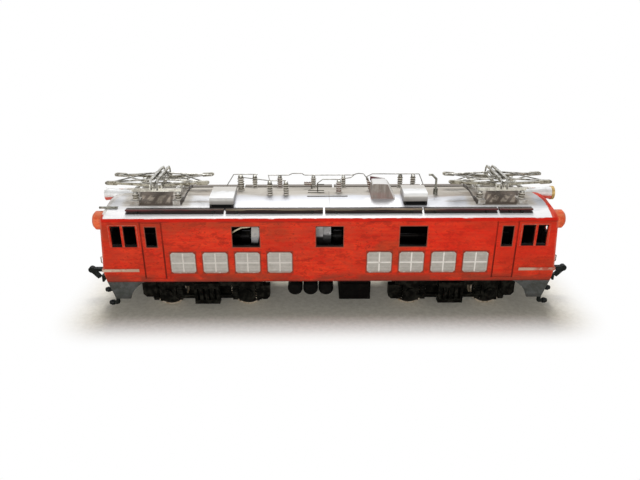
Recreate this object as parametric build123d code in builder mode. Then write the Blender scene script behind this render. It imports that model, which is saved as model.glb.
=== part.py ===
from build123d import *
import os
from math import atan2, cos, degrees, radians, sin, tan

os.makedirs("parts", exist_ok=True)

# A railway modeller's electric locomotive with two four-wheeled bogies and two
# folding roof collectors. +X runs along the track, +Z is up, the origin lies on
# the rail head under the middle of the body. "_1" is the end at -X, "_2" at +X.

# ---------------------------------------------------------------- body sizes
body_length = 171.8  # over the corners of the fronts, at the waist
body_width = 35.0
half_length = body_length / 2
half_width = body_width / 2
sill_height = 14.5  # lower edge of the sides
waist_height = 18.8  # where the fronts stand furthest forward
eaves_height = 40.4
crown_rise = 4.5  # of the roof's arch above the eaves
crown_height = eaves_height + crown_rise
wall = 0.8
front_wall = 1.0
roof_lip_end = half_length - 19.1
sill_tuck = 0.9  # the front corners draw back this far at the sill
front_rake = 4.3  # degrees by which the fronts lean back above the waist
front_nose = 2.3  # the middle of a front stands this far ahead of its corners
brow_radius = 6.6  # rounding from a front into the roof
brow_skin = 1.2  # the roof sheet ends this far behind the brow
edge_softening = 0.4

side_window_width = 10.1
side_window_height = 7.5
side_window_pitch = 31.2
side_window_mid = eaves_height - 7.2
cab_window_heights = (eaves_height - 10.5, eaves_height - 3.3)
cab_window_outer = (half_length - 8.5, half_length - 4.9)
cab_window_inner = (half_length - 14.1, half_length - 9.6)
cab_frame_span = (half_length - 14.8, half_length - 4.0)
cab_frame_margin = 0.8
door_span = (half_length - 23.7, half_length - 15.9)
door_heights = (16.2, eaves_height - 1.8)
door_window_span = (half_length - 21.5, half_length - 17.6)
door_window_heights = (eaves_height - 10.9, eaves_height - 3.6)
groove_width = 0.35
groove_depth = 0.25
front_window_width = 11.4
front_window_height = 7.4
front_window_side = half_width - 9.9
front_window_mid = eaves_height - 6.8
window_corner = 0.7
trim_proud = 0.3  # frames, grilles and stripes stand this far off the sides

stripe_start = half_length - 13.7
stripe_heights = (18.9, 20.1)
stripe_proud = 0.35

grille_width = 9.3
grille_heights = (18.3, eaves_height - 13.6)
grille_first = 18.8
grille_pitch = 12.16
grille_count = 4
cross_width = 0.5
grille_corner = 0.8

# ------------------------------------------------------------- running gear
bogie_spacing = 96.0
wheelbase = 31.25
tread_radius = 6.7
flange_height = 0.5
flange_width = 0.7
rim_thickness = 1.3
web_depth = 0.7
tyre_width = 2.4
back_to_back = 14.5
axle_radius = 1.25
hub_radius = 2.4
bearing_clearance = 0.05
running_gap = 0.3

frame_height = 16.2  # underside of the floor plate
frame_thickness = 1.2
frame_length = body_length - 11.8
frame_side_gap = 0.15
tongue_end = half_length - 1.9  # the floor's tongues carry the coupler boxes
post_place = half_length - 9.9
post_size = 4.0
post_top = 22.0
screw_radius = 0.7
screw_head_radius = 1.3

tank_radius = 2.9
tank_dish = 0.9
tank_pitch = 6.05
tank_middle = -7.3
tank_height = 9.6
tank_half_length = 14.6
strap_width = 1.2
box_span = (3.9, 16.2)
box_heights = (5.2, 13.4)
box_half_length = 14.8
box_lid_margin = 1.2
box_lid_proud = 0.4
hanger_width = 1.6
hanger_side = 8.9

pivot_radius = 1.5
pivot_head_radius = 2.6
pivot_head_height = 0.8
pivot_foot = 4.2

block_length = 39.2
block_width = 13.2
block_foot = 3.2
block_top = 12.6
keeper_thickness = 0.9
keeper_width = 10.4
keeper_margin = 1.0
boss_radius = 4.6
transom_length = 6.0
transom_heights = (8.0, 11.4)

side_frame_gap = 23.2  # between the inner faces of a bogie's side frames
side_frame_thickness = 1.8
beam_heights = (10.6, 13.4)
beam_half_length = 22.0
axlebox_width = 6.4
axlebox_heights = (3.9, 11.0)
axlebox_cover_radius = 2.1
axlebox_cover_proud = 0.9
spring_radius = 1.0
spring_offset = 4.7
spring_foot = 4.4
tie_bar_heights = (5.1, 6.5)
bolster_slot_heights = (4.9, 9.9)
bolster_slot_width = 1.0
bolster_slot_pitch = 2.2
bolster_slot_count = 4
bolster_width = 9.8
bolster_heights = (3.2, 12.2)
bolster_proud = 1.2
# Sandboxes: place towards the body's end, width, foot, top
sandboxes = ((22.4, 5.4, 6.2, 12.9), (-22.6, 4.1, 4.9, 10.9))
sandbox_corner = 1.2
sandbox_depth = 3.2

tower_length = 11.0
tower_width = 9.2
drive_rise = 8.8  # from the floor plate to the axis of the motor, shafts and worms
tower_crown = 3.6  # from the drive axis to the tower's top
tower_swing_room = 2.4
drive_shaft_radius = 1.0
cup_radius = 2.3
cup_bore = 1.75
cup_length = 3.2
ball_radius = 1.2
shaft_rod_radius = 0.8

motor_span = (-30.5, 0.8)
motor_width = 17.0
motor_crown = 9.0  # from the drive axis to the top of the motor
motor_bearing_radius = 7.1
motor_bearing_width = 6.8
motor_end_thickness = 3.2
motor_corner = 2.2
motor_shaft_reach = 1.2
cooling_slot_width = 1.6
cooling_slot_pitch = 4.4
cooling_slot_count = 4

# --------------------------------------------------------------- ends, roof
skirt_foot = 7.3
skirt_thickness = 0.8
skirt_back = half_length - 15.3
skirt_tip = half_length - 8.9
skirt_bend = (2.9, 4.9)  # a point of the arc, behind the tip and above the foot
skirt_toe_tuck = 2.4
skirt_front_gap = 9.6  # opening for the coupler
hose_radius = 1.2
# Hoses: place across, height of the toe, reach of the toe
hoses = ((7.2, 6.0, 6.4), (15.0, 4.4, 3.4))
step_thickness = 0.7
step_reach = 3.6
step_root = 2.0
step_sides = (5.4, 9.6)
step_heights = (10.6, 13.4)
handrail_side = half_width - 4.1
handrail_heights = (20.5, 23.5)
handrail_reach = 1.9
handrail_radius = 0.22

coupler_height = 11.6
coupler_pin = half_length - 4.4
coupler_pin_radius = 0.8
coupler_pocket = (half_length - 7.3, half_length + 2.7)
pocket_width = 6.8
pocket_wall = 0.6
pocket_height = 3.6
shank_width = 1.8
shank_height = 1.4
coupler_stand = 10.3  # the hook's nose stands this far ahead of its pocket
hook_lobe = 1.3
hook_tail = (3.6, 3.9)  # the tail's tip, behind the nose and below the shank's axis
hook_bar = 1.1
hook_thickness = 1.8
eye_wall = 1.0

lamp_height = crown_height - 0.7
lamp_radius = 2.45
lamp_tail_radius = 1.3
lamp_tail_nose = 0.8
lamp_front = half_length + 1.1
lamp_tail = half_length - 10.3
lamp_recess = 0.8
bezel_radius = 2.65
bezel_length = 1.1
lens_radius = 2.05
lens_proud = 0.4

corner_lamp_radius = 3.5
corner_lamp_side = half_width - 3.9
corner_lamp_height = eaves_height - 2.0
corner_lamp_front = half_length + 1.7
corner_lamp_back = half_length - 7.9
corner_lamp_rim = 0.8
corner_lens_radius = 2.4
corner_lens_proud = 0.2

board_side = half_width - 3.2
board_width = 2.6
board_thickness = 0.45
board_top = crown_height - 1.9
board_end = half_length - 10.3
board_joints = (-board_end, -38.8, -2.1, 34.7, 62.6, board_end)
board_gap = 0.7
bracket_width = 1.0
bracket_inset = 4.0

# Box ventilators: place, front, rise over the crown at the front and at the back
vents = ((-40.2, 5.1 - half_width, 1.7, 2.6), (32.3, 6.7 - half_width, 2.8, 3.1))
vent_length = 9.0
vent_back = -1.5
vent_brow = 1.3
vent_mouth = 1.1
vent_mouth_depth = 2.2

hood_span = (15.9, 25.3)
hood_sides = (-7.0, 0.5)
hood_top = crown_height + 5.1
hood_flat = 5.4
hood_shoulder = (21.9, hood_top - 1.7)  # a point on the hood's curve
fin_rise = 1.1
fin_thickness = 0.6

# Roof insulators: place along and across the roof, radius, rise over the crown
insulator_far_side = 9.0
insulators = {
    "lead_in": (-34.6, 2.9, 1.2, 4.9),
    "lead_in_far": (-29.7, insulator_far_side, 0.85, 4.3),
    "switch": (-22.8, -2.8, 1.05, 5.2),
    "switch_far": (-19.6, insulator_far_side, 0.9, 3.9),
    "switch_near": (-16.6, -2.8, 1.0, 5.2),
    "breaker_far": (-6.0, insulator_far_side, 0.9, 3.9),
    "breaker_near": (3.9, -0.1, 1.0, 4.8),
    "breaker_end": (6.1, insulator_far_side, 0.75, 3.9),
    "bus_near": (29.1, insulator_far_side, 0.85, 4.3),
    "bus_end": (34.3, insulator_far_side, 0.85, 4.3),
}
insulator_stem = 0.66  # of the radius
insulator_sides = 8
insulator_cap = 0.8
wire_radius = 0.18
wire_step = 2.4  # distance between neighbouring bends
wire_arch = 0.7
wire_arch_span = (-14.5, -10.7)
wire_crossing = 4.6  # the wire from the near switch turns this far behind the far one
wire_near_bend = (8.6, 1.5, crown_height + 5.3)
wire_fork = (11.9, 6.0, crown_height + 5.0)  # the near and the far wire meet here
wire_hood_bend = (17.3, 5.0, crown_height + 5.7)
bar_sides = 6  # thin bars are six-sided

cable_head_foot = (16.8, 1.9)
cable_head_lean = (-1.9, 0.2, 5.2)
cable_head_length = 6.5
cable_head_radius = 1.0
breaker_start = -9.8
breaker_length = 3.6
breaker_side = 5.0
breaker_height = crown_height + 1.7
breaker_radius = 0.8
breaker_rod_radius = 0.25
breaker_foot_place = -6.8
post_rod_place = (-4.4, 0.2)
post_rod_top = crown_height + 3.6
post_rod_arm = 2.6
breaker_frame_span = (-8.2, -1.8)
breaker_frame_sides = (-1.4, 1.2)
earth_rod_span = (-8.5, 7.1)
earth_rod_side = 4.9

pipe_place = (41.2, -3.0)
pipe_radius = 0.42
pipe_base_radius = 0.85
pipe_base_top = crown_height + 2.2
pipe_top = pipe_base_top + 5.4
pipe_outlet = 38.2

whistle_span = (0.3 - half_length, 7.1 - half_length)
whistle_side = 5.0 - half_width
whistle_height = crown_height - 1.9
whistle_radius = 0.45
whistle_foot_span = (2.9 - half_length, 4.1 - half_length)

# Collectors
collector_place = 65.0  # distance of each collector from the middle
foot_side = 8.0
foot_reach = 8.0
pad_length = 3.4
pad_width = 5.0
pad_thickness = 0.8
foot_radius = 1.25
foot_height = 3.0
gutter_place = 55.2
gutter_width = 0.5
gutter_half = 8.5
gutter_rise = 0.4
rail_height = 1.0
rail_width = 0.9
rail_overhang = 1.3
shaft_offset = 1.6
shaft_rise = 0.7  # of the main shafts' axes above the rails
shaft_radius = 0.55
journal_radius = 0.4
lug_radius = 0.8
spring_side = 2.2
spring_rod_radius = 0.25
spring_barrel_radius = 0.4
spring_barrel_half = 4.8
arm_length = 17.3
arm_rest_angle = 3.1
arm_side = 5.6
arm_width = 1.2
arm_root_height = 0.8
arm_neck_height = 0.65
knee_height = 1.3
knee_length = 4.2
knee_pin_radius = 0.3
upper_side = 4.4
upper_radius = 0.35
brace_span = (0.12, 0.72)  # of the upper arm, from its knee
brace_width = 0.4
pin_clearance = 0.05
head_plate_side = 3.2
head_plate_thickness = 0.6
head_plate_half = 2.6
head_plate_drop = 0.8
head_plate_bridge = 0.25  # metal left above the open slot
open_pivot_gap = 0.3
strip_offset = 1.1
strip_width = 1.0
strip_height = 0.65
strip_half_length = 8.0
horn_radius = 0.32
horn_reach = 2.3
horn_spread = 0.5
horn_bend = 1.0
horn_drop = 3.6

# ----------------------------------------------------------- worked-out sizes
roof_radius = (half_width**2 + crown_rise**2) / (2 * crown_rise)
floor_top = frame_height + frame_thickness
drive_height = floor_top + drive_rise
motor_top = drive_height + motor_crown
coupler_reach = coupler_pocket[1] + coupler_stand
pad_top = crown_height - roof_radius + (roof_radius**2 - foot_side**2) ** 0.5 + pad_thickness
rail_foot = pad_top + foot_height
rail_top = rail_foot + rail_height
shaft_height = rail_top + shaft_rise
wheel_inner = back_to_back / 2
wheel_outer = wheel_inner + tyre_width
bogie_place = bogie_spacing / 2
axle_height = tread_radius + flange_height
knee_x = shaft_offset + arm_length * cos(radians(arm_rest_angle))
knee_z = shaft_height + arm_length * sin(radians(arm_rest_angle))
head_z = 2 * knee_z - shaft_height
ENDS = (("1", -1), ("2", 1))


def roof_z(y):
    """Height of the roof's outer face at the side distance y."""
    return crown_height - roof_radius + (roof_radius**2 - y**2) ** 0.5


# ------------------------------------------------------------- shared forms
def front_section(ahead, draw_back, drop):
    """Lengthwise section of the body; ahead moves both fronts outward."""
    waist_x = half_length + ahead - draw_back
    sill_x = waist_x - sill_tuck
    foot = sill_height - 2 * wall
    top = crown_height - drop
    top_x = waist_x - (top - waist_height) * tan(radians(front_rake))
    right = [(sill_x, foot), (sill_x, sill_height), (waist_x, waist_height), (top_x, top)]
    left = [(-x, z) for x, z in reversed(right)]
    with BuildLine(mode=Mode.PRIVATE) as outline:
        Polyline(*right, *left, close=True)
    make_face(outline.edges())


def body_block(inset=0.0, draw_back=0.0, foot=sill_height):
    """Solid under the body's skin: raked, pointed fronts below an arched roof."""
    side = half_width - inset
    with BuildPart() as block:
        for distance, ahead in ((0, front_nose), (side, 0)):
            with BuildSketch(Plane.XZ.offset(distance)) as section:
                front_section(ahead, draw_back, inset)
                brow = section.vertices().group_by(Axis.Y)[-1]
                fillet(brow, brow_radius - inset)
        loft(ruled=True)
        mirror(about=Plane.XZ)
        with BuildSketch(Plane.YZ):
            with Locations((0, crown_height - roof_radius)):
                Circle(roof_radius - inset)
            with Locations((0, foot)):
                Rectangle(
                    2 * side, crown_height, align=(Align.CENTER, Align.MIN), mode=Mode.INTERSECT
                )
        extrude(amount=body_length, both=True, mode=Mode.INTERSECT)
    return block.part


def bent_bar(points, radius):
    """Six-sided bar along straight runs that meet in mitred corners."""
    with BuildLine(mode=Mode.PRIVATE) as path:
        Polyline(*points)
    start = Plane(origin=points[0], z_dir=path.wire() % 0)
    with BuildSketch(start, mode=Mode.PRIVATE) as ring:
        RegularPolygon(radius, bar_sides)
    sweep(sections=ring.sketch, path=path.wire(), transition=Transition.RIGHT)


def straight_bar(start, stop, radius):
    """Six-sided bar from one point to another."""
    bent_bar([start, stop], radius)


def straight_rod(start, stop, radius, mode=Mode.ADD):
    """Round bar from one point to another."""
    run = Vector(*stop) - Vector(*start)
    with BuildSketch(Plane(origin=start, z_dir=run), mode=Mode.PRIVATE) as ring:
        Circle(radius)
    extrude(ring.sketch, amount=run.length, mode=mode)


def upright(x, y, low, high, radius, mode=Mode.ADD):
    """Upright round bar between two heights."""
    straight_rod((x, y, low), (x, y, high), radius, mode)


def block_between(x_span, y_span, z_span, mode=Mode.ADD):
    """Rectangular block given by its limits along each axis."""
    spans = (x_span, y_span, z_span)
    middle = [(low + high) / 2 for low, high in spans]
    with Locations(tuple(middle)):
        Box(*[abs(high - low) for low, high in spans], mode=mode)


outer_block = body_block()
inner_block = body_block(wall, front_wall, sill_height - wall)
roof_block = body_block(0, brow_skin)


# --------------------------------------------------------------------- body
def span_window(span, heights, mode=Mode.ADD):
    """Window between two lengths and two heights."""
    with Locations(((span[0] + span[1]) / 2, (heights[0] + heights[1]) / 2)):
        Rectangle(span[1] - span[0], heights[1] - heights[0], mode=mode)


with BuildPart() as roof:
    add(outer_block)
    add(inner_block, mode=Mode.SUBTRACT)
    add(roof_block, mode=Mode.INTERSECT)
    with Locations((0, 0, eaves_height)):
        Box(
            body_length * 2,
            body_width * 2,
            crown_height,
            align=(Align.CENTER, Align.CENTER, Align.MIN),
            mode=Mode.INTERSECT,
        )
    # A lip along each side locates the roof inside the walls.
    lip_outer = half_width - wall
    for side in (-1, 1):
        block_between(
            (-roof_lip_end, roof_lip_end),
            (side * lip_outer, side * (lip_outer - wall)),
            (eaves_height - 2 * wall, eaves_height),
        )
roof.part.label = "roof"
export_step(roof.part, "parts/roof.step")

with BuildPart() as body_shell:
    add(outer_block)
    add(inner_block, mode=Mode.SUBTRACT)
    add(roof.part, mode=Mode.SUBTRACT)
    # Openings in the sides
    with BuildSketch(Plane.XZ):
        with GridLocations(side_window_pitch, 0, 3, 1):
            with Locations((0, side_window_mid)):
                RectangleRounded(side_window_width, side_window_height, window_corner)
        for end in (-1, 1):
            for span in (cab_window_outer, cab_window_inner):
                span_window(sorted(end * x for x in span), cab_window_heights)
            span_window(sorted(end * x for x in door_window_span), door_window_heights)
    extrude(amount=body_width, both=True, mode=Mode.SUBTRACT)
    # Openings in the fronts
    with BuildSketch(Plane.YZ):
        with Locations((-front_window_side, front_window_mid), (front_window_side, front_window_mid)):
            Rectangle(front_window_width, front_window_height)
    extrude(amount=body_length, both=True, mode=Mode.SUBTRACT)
    # Door joints
    for side in (-1, 1):
        with BuildSketch(Plane.XZ.offset(side * half_width)):
            for end in (-1, 1):
                middle = end * (door_span[0] + door_span[1]) / 2
                with Locations((middle, (door_heights[0] + door_heights[1]) / 2)):
                    door_width = door_span[1] - door_span[0]
                    door_height = door_heights[1] - door_heights[0]
                    Rectangle(door_width + groove_width, door_height + groove_width)
                    Rectangle(
                        door_width - groove_width, door_height - groove_width, mode=Mode.SUBTRACT
                    )
        extrude(amount=-side * groove_depth, mode=Mode.SUBTRACT)
    # Posts that take the body screws
    post_side = half_width - wall - post_size / 2
    posts = [(x, y, floor_top) for x in (-post_place, post_place) for y in (-post_side, post_side)]
    with Locations(*posts):
        Box(post_size, post_size, post_top - floor_top, align=(Align.CENTER, Align.CENTER, Align.MIN))
        Cylinder(
            screw_radius,
            post_top - floor_top - wall,
            align=(Align.CENTER, Align.CENTER, Align.MIN),
            mode=Mode.SUBTRACT,
        )
body_shell.part.label = "body_shell"
export_step(body_shell.part, "parts/body_shell.step")

with BuildPart() as side_grilles:
    grille_height = grille_heights[1] - grille_heights[0]
    grille_mid = (grille_heights[0] + grille_heights[1]) / 2
    pane_width = (grille_width - 3 * cross_width) / 2
    pane_height = (grille_height - 3 * cross_width) / 2
    places = [end * (grille_first + n * grille_pitch) for end in (-1, 1) for n in range(grille_count)]
    with BuildSketch(Plane.XZ.offset(half_width)):
        with Locations(*[(x, grille_mid) for x in places]):
            Rectangle(grille_width, grille_height)
    extrude(amount=trim_proud)
    chamfer(side_grilles.edges().filter_by(Axis.Y), grille_corner)
    # A recess in each quarter leaves the rim and a cross standing
    with BuildSketch(Plane.XZ.offset(half_width + trim_proud)):
        with Locations(*[(x, grille_mid) for x in places]):
            with GridLocations(pane_width + cross_width, pane_height + cross_width, 2, 2):
                Rectangle(pane_width, pane_height)
    extrude(amount=-trim_proud / 2, mode=Mode.SUBTRACT)
    mirror(about=Plane.XZ)
side_grilles.part.label = "side_grilles"
export_step(side_grilles.part, "parts/side_grilles.step")

with BuildPart() as window_frames:
    with BuildSketch(Plane.XZ.offset(half_width)):
        for end in (-1, 1):
            frame_heights = (
                cab_window_heights[0] - cab_frame_margin,
                cab_window_heights[1] + cab_frame_margin,
            )
            span_window(sorted(end * x for x in cab_frame_span), frame_heights)
            for span in (cab_window_outer, cab_window_inner):
                span_window(sorted(end * x for x in span), cab_window_heights, Mode.SUBTRACT)
    extrude(amount=trim_proud / 2)
    mirror(about=Plane.XZ)
window_frames.part.label = "window_frames"
export_step(window_frames.part, "parts/window_frames.step")

# Raised stripes run from the cab sides round each front.
with BuildPart() as waist_stripes:
    with BuildSketch(Plane.XY.offset(stripe_heights[0])):
        for end in (-1, 1):
            rim = half_length + stripe_proud
            slope = front_nose / half_width
            outline = [
                (end * stripe_start, -half_width - stripe_proud),
                (end * (rim - slope * stripe_proud), -half_width - stripe_proud),
                (end * (rim + front_nose), 0),
                (end * (rim - slope * stripe_proud), half_width + stripe_proud),
                (end * stripe_start, half_width + stripe_proud),
            ]
            with BuildLine():
                Polyline(*outline, close=True)
            make_face()
    extrude(amount=stripe_heights[1] - stripe_heights[0])
    # The body's own solid is taken out, so only the raised skin is left.
    add(outer_block, mode=Mode.SUBTRACT)
waist_stripes.part.label = "waist_stripes"
export_step(waist_stripes.part, "parts/waist_stripes.step")


# -------------------------------------------------------------------- floor
# Each gear tower stands over its bogie's outer axle
tower_place = wheelbase / 2
tower_opening = (tower_length + tower_swing_room, tower_width + 2 * tower_swing_room)

with BuildPart() as air_tanks:
    for n in (-1, 0, 1):
        x = tank_middle + n * tank_pitch
        # Plain barrel with dished ends
        profile = [
            (0, 0),
            (0, tank_half_length),
            (tank_radius - tank_dish, tank_half_length),
            (tank_radius, tank_half_length - tank_dish),
            (tank_radius, 0),
        ]
        with BuildSketch(Plane.XY.offset(tank_height), mode=Mode.PRIVATE) as half:
            with BuildLine():
                Polyline(*[(x + r, -y) for r, y in profile], close=True)
            make_face()
        revolve(half.sketch, axis=Axis((x, 0, tank_height), (0, 1, 0)))
    mirror(about=Plane.XZ)
air_tanks.part.label = "air_tanks"
export_step(air_tanks.part, "parts/air_tanks.step")

with BuildPart() as underframe:
    plate_width = body_width - 2 * wall - 2 * frame_side_gap
    with BuildSketch(Plane.XY.offset(frame_height)):
        Rectangle(frame_length, plate_width)
        Rectangle(2 * tongue_end, pocket_width)
        with Locations((-bogie_place, 0), (bogie_place, 0)):
            Circle(pivot_radius + bearing_clearance, mode=Mode.SUBTRACT)
        for end in (-1, 1):
            with Locations((end * (bogie_place + tower_place), 0)):
                Rectangle(*tower_opening, mode=Mode.SUBTRACT)
        with Locations(*[(x, y) for x in (-post_place, post_place) for y in (-post_side, post_side)]):
            Circle(screw_radius + bearing_clearance, mode=Mode.SUBTRACT)
    extrude(amount=frame_thickness)
    # Stiffening ribs along both edges, broken over the bogies
    rib_side = plate_width / 2 - wall
    for side in (-1, 1):
        block_between(
            (tank_middle - 1.5 * tank_pitch, box_span[1]),
            (side * (rib_side - wall), side * rib_side),
            (sill_height, frame_height),
        )
    # Saddles that carry the air tanks
    for side in (-1, 1):
        saddle_side = side * tank_half_length / 2
        block_between(
            (tank_middle - 1.5 * tank_pitch, tank_middle + 1.5 * tank_pitch),
            (saddle_side - strap_width, saddle_side + strap_width),
            (tank_height + tank_radius / 2, frame_height),
        )
    add(air_tanks.part, mode=Mode.SUBTRACT)
underframe.part.label = "underframe"
export_step(underframe.part, "parts/underframe.step")

with BuildPart() as body_screws:
    for x in (-post_place, post_place):
        for y in (-post_side, post_side):
            straight_bar((x, y, frame_height - wall), (x, y, frame_height), screw_head_radius)
            upright(x, y, frame_height, post_top - 2 * wall, screw_radius)
body_screws.part.label = "body_screws"
export_step(body_screws.part, "parts/body_screws.step")

with BuildPart() as equipment_box:
    block_between(box_span, (-box_half_length, box_half_length), box_heights)
    fillet(equipment_box.edges().filter_by(Axis.Z), edge_softening)
    # Lids on the outer faces and hangers up to the floor
    lid_half = (box_span[1] - box_span[0]) / 2 - box_lid_margin
    box_mid = (box_span[0] + box_span[1]) / 2
    for side in (-1, 1):
        block_between(
            (box_mid - lid_half, box_mid + lid_half),
            (side * box_half_length, side * (box_half_length + box_lid_proud)),
            (box_heights[0] + box_lid_margin, box_heights[1] - box_lid_margin),
        )
        for x in (box_span[0] + hanger_width, box_span[1] - hanger_width):
            block_between(
                (x - hanger_width / 2, x + hanger_width / 2),
                (side * hanger_side, side * (hanger_side + hanger_width)),
                (box_heights[1], frame_height),
            )
equipment_box.part.label = "equipment_box"
export_step(equipment_box.part, "parts/equipment_box.step")

# -------------------------------------------------------------------- motor
motor_mid = (motor_span[0] + motor_span[1]) / 2
motor_ends = (motor_span[0] + motor_end_thickness, motor_span[1] - motor_end_thickness)

with BuildPart() as motor_case:
    motor_height = motor_top - floor_top
    with BuildSketch(Plane.YZ.offset(motor_ends[0])):
        with Locations((0, floor_top + motor_height / 2)):
            RectangleRounded(motor_width, motor_height, motor_corner)
    extrude(amount=motor_ends[1] - motor_ends[0])
    # Cooling slots through the long faces
    for side in (-1, 1):
        with BuildSketch(Plane.XZ.offset(side * motor_width / 2)):
            with Locations((motor_mid, drive_height)):
                with GridLocations(cooling_slot_pitch, 0, cooling_slot_count, 1):
                    Rectangle(cooling_slot_width, motor_height / 2)
        extrude(amount=-side * wall, mode=Mode.SUBTRACT)
    straight_rod(
        (motor_span[0], 0, drive_height),
        (motor_span[1], 0, drive_height),
        drive_shaft_radius + bearing_clearance,
        Mode.SUBTRACT,
    )
motor_case.part.label = "motor_case"
export_step(motor_case.part, "parts/motor_case.step")

with BuildPart() as motor_bearings:
    for start, stop in ((motor_span[0], motor_ends[0]), (motor_ends[1], motor_span[1])):
        with BuildSketch(Plane.YZ.offset(start)):
            with Locations((0, drive_height)):
                Circle(motor_bearing_radius)
                Rectangle(motor_bearing_width, motor_top - floor_top - 2 * motor_corner)
        extrude(amount=stop - start)
    straight_rod(
        (motor_span[0], 0, drive_height),
        (motor_span[1], 0, drive_height),
        drive_shaft_radius + bearing_clearance,
        Mode.SUBTRACT,
    )
motor_bearings.part.label = "motor_bearings"
export_step(motor_bearings.part, "parts/motor_bearings.step")


def joint_cup(mouth, opening):
    """Cup of a shaft joint, open towards -X or +X at its mouth."""
    bottom = mouth - opening * cup_length
    inside = bottom + opening * wall
    straight_rod((bottom, 0, drive_height), (mouth, 0, drive_height), cup_radius)
    straight_rod((inside, 0, drive_height), (mouth, 0, drive_height), cup_bore, Mode.SUBTRACT)


def shaft_ball(middle):
    """Short barrel at the end of a cardan shaft, held in a cup."""
    half = ball_radius / 2
    straight_rod((middle - half, 0, drive_height), (middle + half, 0, drive_height), ball_radius)


cup_reach = motor_shaft_reach + cup_length
motor_cups = (motor_span[0] - cup_reach, motor_span[1] + cup_reach)

with BuildPart() as motor_armature:
    joint_cup(motor_cups[0], -1)
    joint_cup(motor_cups[1], 1)
    straight_rod(
        (motor_cups[0] + cup_length - wall, 0, drive_height),
        (motor_cups[1] - cup_length + wall, 0, drive_height),
        drive_shaft_radius,
    )
motor_armature.part.label = "motor_armature"
export_step(motor_armature.part, "parts/motor_armature.step")

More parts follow.
